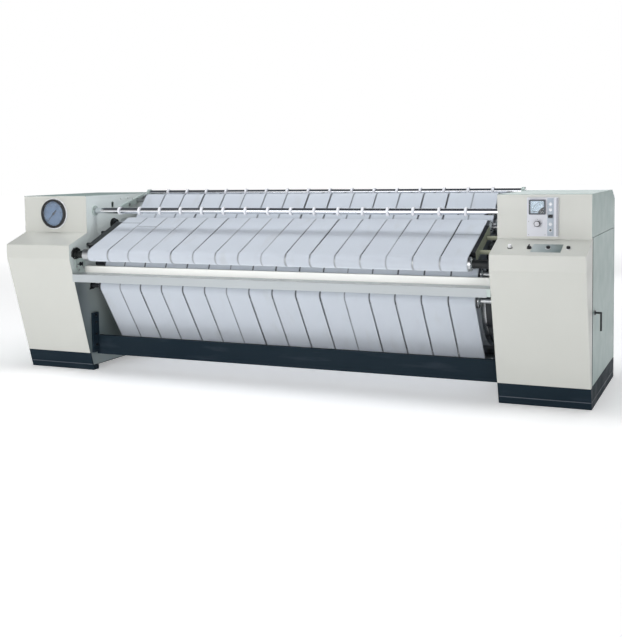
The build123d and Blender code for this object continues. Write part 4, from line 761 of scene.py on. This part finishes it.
# painted shade: the grey-green is a darker copy of the pale paint, for the shaded sides
green_paint = sheet_paint(
    "green_paint", colour(134, 160, 156), colour(113, 138, 135), 0.28, 0.36, 0.0004, 0.08, 0.25, 0.04, 0.000003)
green_paint.shader.inputs["Specular IOR Level"].default_value = 0.3
dress(cream_paint, "front_cover_left", "front_cover_right")
dress(green_paint, "top_cover_left", "top_cover_right", "rear_cover_left", "rear_cover_right", "rear_guard",
      "side_door_left", "side_door_right")


def screw(shape, place, axis, size):
    """A pan-head screw with a recess for the driver."""
    turned(shape, [(size * 0.25, size * 0.42), (size * 0.6, size * 0.4), (size * 0.9, size * 0.2), (size, 0),
                   (0, 0)], place, axis, 20)
    turned(shape, [(0, size * 0.2), (size * 0.25, size * 0.2), (size * 0.25, size * 0.42)], place, axis, 20)


cover_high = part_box("rear_cover_right")[1]
guard_low, guard_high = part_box("rear_guard")
back, screw_size = (0, 1, 0), 0.0065
screws = bmesh.new()
for side in (-1, 1):
    for x in (inner_x + 0.022, cover_high.x - 0.022):
        for step in range(5):
            screw(screws, (side * x, cover_high.y, 0.165 + step * 0.26), back, screw_size)
    for step in range(5):
        screw(screws, (side * (inner_x - 0.018), guard_high.y, 0.285 + step * 0.2275), back, screw_size)
for step in range(9):
    for z in (guard_low.z + 0.018, guard_high.z - 0.018):
        screw(screws, ((step - 4) * 0.345, guard_high.y, z), back, screw_size)
piece("cover_screws", screws, steel_bolt, "frame")


# Side doors: one on each end, hung on hidden pins at the rear and closed by a cranked black handle that
# turns in a round lock plate; a black strip along its front edge is painted shade for the slit there.
handle_black = Finish("handle_black", colour(40, 45, 48), 0.36)
handle_black.gloss(handle_black.noise(60.0), 0.28, 0.45)
handle_black.relief(handle_black.noise(380.0), 0.00015)
dress(handle_black, "door_handle_left", "door_handle_right")
dress(steel_bolt, "door_pivots")
# black rubber for the grommets; the same black also serves as painted shade for the door slits and the fan cover's
# slots
rubber_and_shade = Finish("black_rubber_and_shade", colour(34, 36, 38), 0.7)
rubber_and_shade.relief(rubber_and_shade.noise(300.0), 0.0001)


def middle_of(node):
    """The middle of a node's box."""
    return [(low + high) / 2 for low, high in zip(*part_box(node))]


def turned_piece(name, profile, places, axis, steps, finish, body):
    """A piece of one or more like lathe parts."""
    shape = bmesh.new()
    for place in places:
        turned(shape, profile, place, axis, steps)
    piece(name, shape, finish, body)


def bar_piece(name, low, high, edge, finish, body):
    """A piece that is one straight bar or sheet."""
    shape = bmesh.new()
    bar(shape, low, high, edge)
    piece(name, shape, finish, body)


handle_hub = 0.014      # radius of the hub at the handle's top
for side, word in ((-1, "left"), (1, "right")):
    low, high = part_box(f"side_door_{word}")
    handle_y = middle_of(f"door_handle_{word}")[1]
    handle_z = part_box(f"door_handle_{word}")[1].z - handle_hub
    face_x = side * max(abs(low.x), abs(high.x))
    turned_piece(f"lock_plate_{word}", [
        (0.0145, 0.0), (0.0215, 0.0), (0.0215, 0.001), (0.0205, 0.0019), (0.0155, 0.0019), (0.0145, 0.0012),
        (0.0145, 0.0),
    ], [(face_x, handle_y, handle_z)], (side, 0, 0), 36, steel_bolt, f"door_{word}")
    # painted shade: a thin black strip on the door's front edge stands for the shadowed slit there
    near, far = sorted((face_x - side * 0.0002, face_x + side * 0.0016))
    bar_piece(f"door_shadow_strip_{word}", (near, low.y + 0.0005, low.z + 0.002), (far, low.y + 0.0095, high.z - 0.002),
              0.0006, rubber_and_shade, f"door_{word}")


# Pressure gauge: a white rim plate, a black pressed bezel and a blue-grey dial under flat glass, with plain
# numbers from 0 to 1 round three quarters of a turn. The black needle has a round counterweight.
def satin(name, shade, low_gloss, high_gloss, metallic=0.0):
    """Moulded plastic or enamel: slightly uneven gloss and a faint grain."""
    made = Finish(name, shade, low_gloss, metallic)
    made.gloss(made.noise(70.0), low_gloss, high_gloss)
    made.relief(made.noise(300.0), 0.000012)
    return made


figure_rise = 0.0003      # how far the print stands out from its face


def number(shape, text, size, place):
    """Plain figures, centred on a place and facing the front."""
    curve = bpy.data.curves.new("figure", "FONT")
    curve.body = text
    curve.size = size
    curve.align_x, curve.align_y = "CENTER", "CENTER"
    curve.extrude = figure_rise
    figure = bpy.data.objects.new("figure", curve)
    mesh = bpy.data.meshes.new_from_object(figure)
    mesh.transform(Matrix.Translation(place) @ Matrix.Rotation(math.radians(90), 4, "X"))
    shape.from_mesh(mesh)
    bpy.data.objects.remove(figure)
    bpy.data.curves.remove(curve)
    bpy.data.meshes.remove(mesh)


def block(shape, centre, angle, offset, size):
    """A block beside a centre that faces the front, turned round it; 0 degrees is right and 90 is up."""
    turn = Matrix.Translation(centre) @ Matrix.Rotation(-math.radians(angle), 4, "Y")
    bmesh.ops.create_cube(
        shape, size=1.0, matrix=turn @ Matrix.Translation(offset) @ Matrix.Diagonal((*size, 1.0)))


def mark(shape, centre, angle, near, far, width):
    """A short line that points away from a dial's centre."""
    block(shape, centre, angle, ((near + far) / 2, 0, 0), (far - near, figure_rise * 2, width))


def around(centre, angle, radius):
    """The place at an angle and a radius on a dial."""
    turn = math.radians(angle)
    return centre[0] + radius * math.cos(turn), centre[1], centre[2] + radius * math.sin(turn)


white, black = colour(236, 237, 240), colour(20, 22, 26)
enamel = satin("white_enamel", white, 0.25, 0.36)
black_satin = satin("black_satin", black, 0.25, 0.42)
dial_paint = satin("dial_paint", colour(96, 122, 154), 0.4, 0.5)
ink = satin("dial_ink", colour(24, 28, 36), 0.5, 0.6)
glass = Finish("gauge_glass", (0.9, 0.95, 1.0, 1), 0.04)
glass.shader.inputs["Alpha"].default_value = 0.05
dress(black_satin, "gauge_needle")
gauge_x, _, gauge_z = middle_of("gauge_case")
case_paint = satin("gauge_case", white, 0.25, 0.36)
from_middle = case_paint.node("Mapping")
from_middle.inputs["Location"].default_value = (-gauge_x, 0, -gauge_z)
flat = case_paint.node("VectorMath", operation="MULTIPLY")
flat.inputs[1].default_value = (1, 0, 1)
radius = case_paint.node("VectorMath", operation="LENGTH")
case_paint.link(case_paint.pattern, from_middle.inputs["Vector"])
case_paint.link(from_middle.outputs["Vector"], flat.inputs[0])
case_paint.link(flat.outputs["Vector"], radius.inputs[0])
case_paint.tint(case_paint.spread(radius.outputs["Value"], 0.1076, 0.1072, 0.0, 1.0), black)
dress(case_paint, "gauge_case")
front = (0, -1, 0)
dial_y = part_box("gauge_case")[0].y + 0.014
rim_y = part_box("gauge_case")[0].y + 0.022


def gauge_round(name, profile, y, steps, finish, body="frame"):
    """A round piece of the gauge, turned about its middle."""
    turned_piece(name, profile, [(gauge_x, y, gauge_z)], front, steps, finish, body)


gauge_round("gauge_bezel", [
    (0.1074, 0.0052), (0.1074, 0.0175), (0.1062, 0.0208), (0.1030, 0.0224), (0.0975, 0.0224), (0.0935, 0.0212),
    (0.0915, 0.0185), (0.0906, 0.0178), (0.0906, 0.0085), (0.1074, 0.0052),
], rim_y, 72, black_satin)
gauge_round("gauge_dial", [(0, 0), (0.0905, 0), (0.0905, 0.0005), (0, 0.0005)], dial_y, 64, dial_paint)
figures = bmesh.new()
dial_centre = (gauge_x, dial_y - 0.0006, gauge_z)
for step in range(51):
    large = step % 10 == 0
    angle = 225 - 270 * step / 50
    near = 0.070 if large else 0.075 if step % 5 == 0 else 0.078
    mark(figures, dial_centre, angle, near, 0.083, 0.0030 if large else 0.0016)
    if large:
        text = f"{step / 50:.1f}" if 0 < step < 50 else str(step // 50)
        number(figures, text, 0.0165, around(dial_centre, angle, 0.058))
for index in range(90):
    mark(figures, dial_centre, 225 - 3 * index, 0.0826, 0.0838, 0.0048)
piece("gauge_figures", figures, ink, "frame")
gauge_round("gauge_hub", [(0, 0), (0.0095, 0), (0.0095, 0.0014), (0.007, 0.0026), (0, 0.003)],
            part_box("gauge_needle")[0].y, 32, black_satin, "gauge_pointer")
gauge_round("gauge_pane", [(0, 0), (0.0904, 0), (0.0904, 0.0012), (0, 0.0012)], rim_y - 0.0165, 64, glass)


# Control panel: a white plastic box with a speed meter, a speed knob and a grey strip of lamps and
# switches. The meter's face is pale blue behind glass; a black shield covers the needle's pivot corner.
panel_white = satin("panel_white", colour(216, 218, 226), 0.3, 0.42)
dress(panel_white, "control_panel")
slate = satin("meter_slate", colour(42, 52, 66), 0.25, 0.38)
dress(slate, "panel_meter")
dress(ink, "meter_needle")
# the speed knob's black body is painted shade and dark reflection round its light face cap; the power switch and
# reset button are black
dress(black_satin, "speed_knob", "power_switch", "reset_button")
lamp = Finish("lamp_plastic", colour(238, 240, 246), 0.2)
lamp.shader.inputs["Subsurface Weight"].default_value = 0.3
lamp.shader.inputs["Subsurface Radius"].default_value = (0.003, 0.003, 0.003)
lamp.relief(lamp.noise(300.0), 0.00005)
dress(lamp, "indicator_lamps")
panel_low, panel_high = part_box("control_panel")
panel_y = panel_low.y
strip_x, _, reset_z = middle_of("reset_button")
bar_piece("lamp_strip", (strip_x - 0.019, panel_y - 0.0006, panel_low.z + 0.004),
          (strip_x + 0.019, panel_y, panel_high.z - 0.004), 0.0002,
          satin("strip_grey", colour(176, 186, 198), 0.3, 0.42), "frame")
# painted shadow: a dark grey strip near the panel's right edge stands for the shadow line along that edge
bar_piece("panel_edge_shadow", (panel_high.x - 0.0085, panel_y - 0.0016, panel_low.z + 0.003),
          (panel_high.x - 0.0045, panel_y, panel_high.z - 0.003), 0.0005,
          satin("edge_shadow_grey", colour(92, 94, 104), 0.35, 0.5), "frame")

meter_low, meter_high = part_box("panel_meter")
floor_y = meter_low.y + 0.010
card_rim, pane_rim = 0.0072, 0.0071
bar_piece("meter_card", (meter_low.x + card_rim, floor_y - 0.0005, meter_low.z + card_rim),
          (meter_high.x - card_rim, floor_y, meter_high.z - card_rim), 0.0,
          satin("meter_card", colour(205, 225, 240), 0.4, 0.5), "frame")
scale = bmesh.new()
pivot = (meter_high.x - 0.018, floor_y - 0.0007, meter_low.z + 0.018)
for step in range(21):
    angle = 176 - 4.2 * step
    large = step % 4 == 0
    mark(scale, pivot, angle, 0.052 if large else 0.0545, 0.058, 0.0011 if large else 0.0006)
    mark(scale, pivot, angle, 0.0576, 0.0584, 0.0043)
    if large:
        number(scale, str(step // 2), 0.0085, around(pivot, angle, 0.046))
piece("meter_scale", scale, ink, "frame")
shield = bmesh.new()
slab(shield, [(meter_high.x + across, meter_low.y + 0.0025, meter_low.z + up) for across, up in (
    (-0.0075, 0.0072), (-0.0075, 0.045), (-0.015, 0.0415), (-0.028, 0.033), (-0.038, 0.021), (-0.043, 0.0072),
)], (0, 0.0026, 0))
piece("meter_shield", shield, black_satin, "frame")
bar_piece("meter_pane", (meter_low.x + pane_rim, meter_low.y + 0.0006, meter_low.z + pane_rim),
          (meter_high.x - pane_rim, meter_low.y + 0.0014, meter_high.z - pane_rim), 0.0,
          glass, "frame")

# painted shade: the black knob body shows as a dark ring round the light cap
knob_x, _, knob_z = middle_of("speed_knob")
turned_piece(
    "knob_cap", [(0, -0.0004), (0.0145, -0.0004), (0.0145, 0.0006), (0.0132, 0.0012), (0, 0.0012)],
    [(knob_x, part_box("speed_knob")[0].y, knob_z)], front, 36,
    satin("knob_grey", colour(206, 206, 212), 0.22, 0.34), "knob")
knob_marks = bmesh.new()
for step in range(11):
    far = 0.0255 if step % 5 else 0.0275
    mark(knob_marks, (knob_x, panel_y - 0.0002, knob_z), 225 - 27 * step, 0.0215, far, 0.0011)
piece("knob_marks", knob_marks, ink, "frame")

lamp_heights = (1.240, 1.207, 1.120)
turned_piece("lamp_collars", [
    (0.0077, 0.0), (0.0102, 0.0), (0.0102, 0.0014), (0.0092, 0.0024), (0.0077, 0.0024), (0.0077, 0.0),
], [(strip_x, panel_y, z) for z in lamp_heights], front, 32, enamel, "frame")
turned_piece("reset_collar", [
    (0.0064, 0.0), (0.0098, 0.0), (0.0098, 0.0016), (0.0088, 0.0026), (0.0064, 0.0026), (0.0064, 0.0),
], [(strip_x, panel_y, reset_z)], front, 32, enamel, "frame")
switch_z = middle_of("power_switch")[2]
surround = bmesh.new()
for low_x, high_x, low_z, high_z in (
    (-0.0150, 0.0150, 0.0103, 0.0116), (-0.0150, 0.0150, -0.0116, -0.0103),
    (-0.0150, -0.0137, -0.0105, 0.0105), (0.0137, 0.0150, -0.0105, 0.0105),
):
    bar(surround, (strip_x + low_x, panel_y - 0.0016, switch_z + low_z),
        (strip_x + high_x, panel_y - 0.0001, switch_z + high_z), 0.0005)
piece("switch_frame", surround, black_satin, "frame")
panel_screws = bmesh.new()
for x, z in ((0.010, 0.010), (0.010, 0.090), (0.108, 0.010)):
    screw(panel_screws, (panel_low.x + x, panel_y, panel_low.z + z), front, 0.0028)
piece("panel_screws", panel_screws, steel_bolt, "frame")


# Shelf controls: start, mode, stop and jog on the sloping shelf, each in a moulded collar, with a bare
# metal label plate under the middle ones.
dress(enamel, "start_button")
dress(black_satin, "mode_selector", "stop_button", "jog_button")
shelf_top, shelf_fall, shelf_depth = 1.028, 1.028 - 0.951, 0.219
shelf_slope = math.atan2(shelf_fall, shelf_depth)
shelf_up = Vector((0, -math.sin(shelf_slope), math.cos(shelf_slope)))
shelf_down = Vector((0, -math.cos(shelf_slope), -math.sin(shelf_slope)))
shelf_edge = Vector((0, panel_high.y, shelf_top))
plate_metal = satin("label_plate", colour(182, 192, 192), 0.3, 0.36, 0.3)
# painted shade: the plate darkens from left to right
plate_metal.tint(plate_metal.spread(plate_metal.axis("X"), 1.76, 1.92, 0.0, 1.0), colour(124, 138, 138))
label_left, label_right = 1.757, 1.932
label_back, label_front = 0.074, 0.190      # down the shelf from its upper edge
label = bmesh.new()
bar(label, (label_left, label_back, 0.0002), (label_right, label_front, 0.0010), 0.0003)
on_shelf = Matrix((
    (1, 0, 0, 0), (0, shelf_down.y, shelf_up.y, shelf_edge.y), (0, shelf_down.z, shelf_up.z, shelf_edge.z),
    (0, 0, 0, 1),
))
bmesh.ops.transform(label, matrix=on_shelf, verts=label.verts)
piece("shelf_label", label, plate_metal, "frame")
controls_in = 0.125      # level distance of the controls from the panel's face
for node, finish, wide in (
    ("start_button", black_satin, 0.0155), ("mode_selector", black_satin, 0.0150),
    ("stop_button", enamel, 0.0155), ("jog_button", enamel, 0.0155),
):
    place = shelf_edge + shelf_down * (controls_in / math.cos(shelf_slope)) + Vector((middle_of(node)[0], 0, 0))
    hole = wide - 0.0030
    turned_piece(f"{node}_collar", [
        (hole, 0.0), (wide, 0.0), (wide, 0.0018), (wide - 0.0012, 0.0032), (hole + 0.0006, 0.0032),
        (hole, 0.0026), (hole, 0.0),
    ], [place], shelf_up, 40, finish, "frame")


# Steam line, in the left cabinet: black iron pipes with hexagon unions at a brass rotary joint, which feeds
# steam into the turning cylinder; rubber grommets line the holes in the rear cover.
pipe_iron = Finish("pipe_iron", colour(58, 60, 62), 0.4, 0.75)
pipe_iron.tint(pipe_iron.spread(pipe_iron.noise(18.0, detail=6.0), 0.5, 0.75, 0.0, 0.4), colour(92, 84, 74))
pipe_iron.gloss(pipe_iron.noise(30.0), 0.3, 0.55)
pipe_iron.relief(pipe_iron.noise(240.0), 0.0002)
dress(pipe_iron, "steam_pipes")
brass = metal("joint_brass", colour(176, 146, 88), 0.25, 0.42, 120.0, 0.0001, (1, 1, 1), 0.3)
dress(brass, "rotary_joint")
every_60 = range(30, 360, 60)
joint_bolts = bmesh.new()
bolt_ring(joint_bolts, (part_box("rotary_joint")[0].x, drum_y, drum_z), (-1, 0, 0), 0.038, every_60, 0.010, 0.006)
piece("joint_bolts", joint_bolts, steel_bolt, "frame")
grommets = bmesh.new()
for x, z, pipe in ((-1.892, drum_z, 0.017), (-1.727, 0.260, 0.0135)):
    turned(grommets, [(pipe + 0.0003, -0.003), (pipe + 0.0028, -0.003), (pipe + 0.0028, 0.0002),
                      (pipe + 0.0085, 0.0002), (pipe + 0.0085, 0.0014), (pipe + 0.0065, 0.0026),
                      (pipe + 0.0003, 0.0026), (pipe + 0.0003, -0.003)], (x, cover_high.y, z), back, 36)
piece("pipe_grommets", grommets, rubber_and_shade, "frame")


# Drive, in the right cabinet: a geared motor in grey-blue machine enamel turns the cylinder by a roller
# chain, a second chain runs the feed roller, and a sheet-steel box holds the switchgear.
machine_grey = sheet_paint("machine_grey", colour(112, 124, 134), colour(80, 90, 98), 0.36, 0.5, 0.0006)
dress(machine_grey, "gearbox", "drive_motor")
box_grey = sheet_paint("box_grey", colour(184, 186, 184), colour(160, 162, 160), 0.34, 0.46, 0.0008)
dress(box_grey, "electrical_box")
sprocket_steel = metal("sprocket_steel", colour(104, 104, 104), 0.3, 0.5, 90.0, 0.0002, (1, 1, 1), 0.5)
dress(sprocket_steel, "cylinder_sprocket", "drive_sprocket")
chain_steel = metal("chain_steel", colour(66, 64, 60), 0.28, 0.48, 260.0, 0.0002, (1, 1, 1), 0.6)
dress(chain_steel, "drive_chain", "feed_chain")

box_low, box_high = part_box("electrical_box")
door_y = box_low.y - 0.002
bar_piece("switchgear_door", (box_low.x + 0.006, door_y, box_low.z + 0.008),
          (box_high.x - 0.006, box_low.y, box_high.z - 0.006), 0.0012, box_grey, "frame")
latches = bmesh.new()
for z in (box_low.z + 0.10, box_high.z - 0.10):
    turned(latches, [(0, 0), (0.011, 0), (0.011, 0.003), (0.008, 0.004), (0, 0.004)],
           (box_high.x - 0.03, door_y, z), front, 28)
    bar(latches, (box_high.x - 0.0315, box_low.y - 0.0072, z - 0.007),
        (box_high.x - 0.0285, box_low.y - 0.006, z + 0.007))
piece("switchgear_latches", latches, handle_black, "frame")

motor_low, motor_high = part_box("drive_motor")
motor_x, motor_z = (motor_low.x + motor_high.x) / 2, motor_low.z + 0.100
fins = bmesh.new()
for index in range(26):
    angle = 38 + index * 11.4
    if 56 < angle < 124 or angle > 232:      # no fins under the terminal box or at the foot
        continue
    block(fins, (motor_x, 0, motor_z), angle, (0.087, motor_low.y + 0.115, 0), (0.013, 0.150, 0.0032))
piece("motor_fins", fins, machine_grey, "frame")
turned_piece("motor_fan_cover", [
    (0.0822, 0.0), (0.0885, 0.0), (0.0885, 0.058), (0.083, 0.066), (0.070, 0.0685), (0.0, 0.0685),
], [(motor_x, motor_high.y - 0.064, motor_z)], back, 48, machine_grey, "frame")
# painted shade: thin black marks on the fan cover stand for the dark openings of its slots
slots = bmesh.new()
fan_face = (motor_x, motor_high.y + 0.0046, motor_z)
for slot_radius in (0.022, 0.036, 0.050, 0.064):
    for index in range(8):
        for part in range(-2, 3):
            bend = math.tau * (index + 0.5) / 8 + part * 0.11
            block(slots, fan_face, math.degrees(bend), (slot_radius, 0, 0), (0.0045, 0.0004, slot_radius * 0.115))
piece("motor_fan_slot_shade", slots, rubber_and_shade, "frame")
lid_y, lid_z = motor_low.y, motor_high.z
bar_piece("terminal_lid", (motor_x - 0.043, lid_y + 0.079, lid_z), (motor_x + 0.043, lid_y + 0.178, lid_z + 0.004),
          0.0015, machine_grey, "frame")

gear_low, gear_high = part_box("gearbox")
shaft_y, shaft_z = axis_of("drive_sprocket")[:2]
up = (0, 0, 1)
gear_bolts = bmesh.new()
for x in (gear_low.x + 0.022, gear_high.x - 0.022):
    for y in (gear_low.y + 0.010, gear_high.y - 0.010):
        hexagon_bolt(gear_bolts, (x, y, gear_low.z + 0.014), up, 0.015, 0.009)
bolt_ring(gear_bolts, (gear_low.x, shaft_y, shaft_z), (-1, 0, 0), 0.046, every_60, 0.010, 0.006, washer=False)
bolt_ring(gear_bolts, (motor_x, motor_low.y + 0.034, motor_z), back, 0.091, (45, 135, 225, 315), 0.011, 0.007,
          washer=False)
for x in (-0.034, 0.034):
    for y in (0.089, 0.168):
        screw(gear_bolts, (motor_x + x, lid_y + y, lid_z + 0.004), up, 0.004)
piece("drive_bolts", gear_bolts, steel_bolt, "frame")
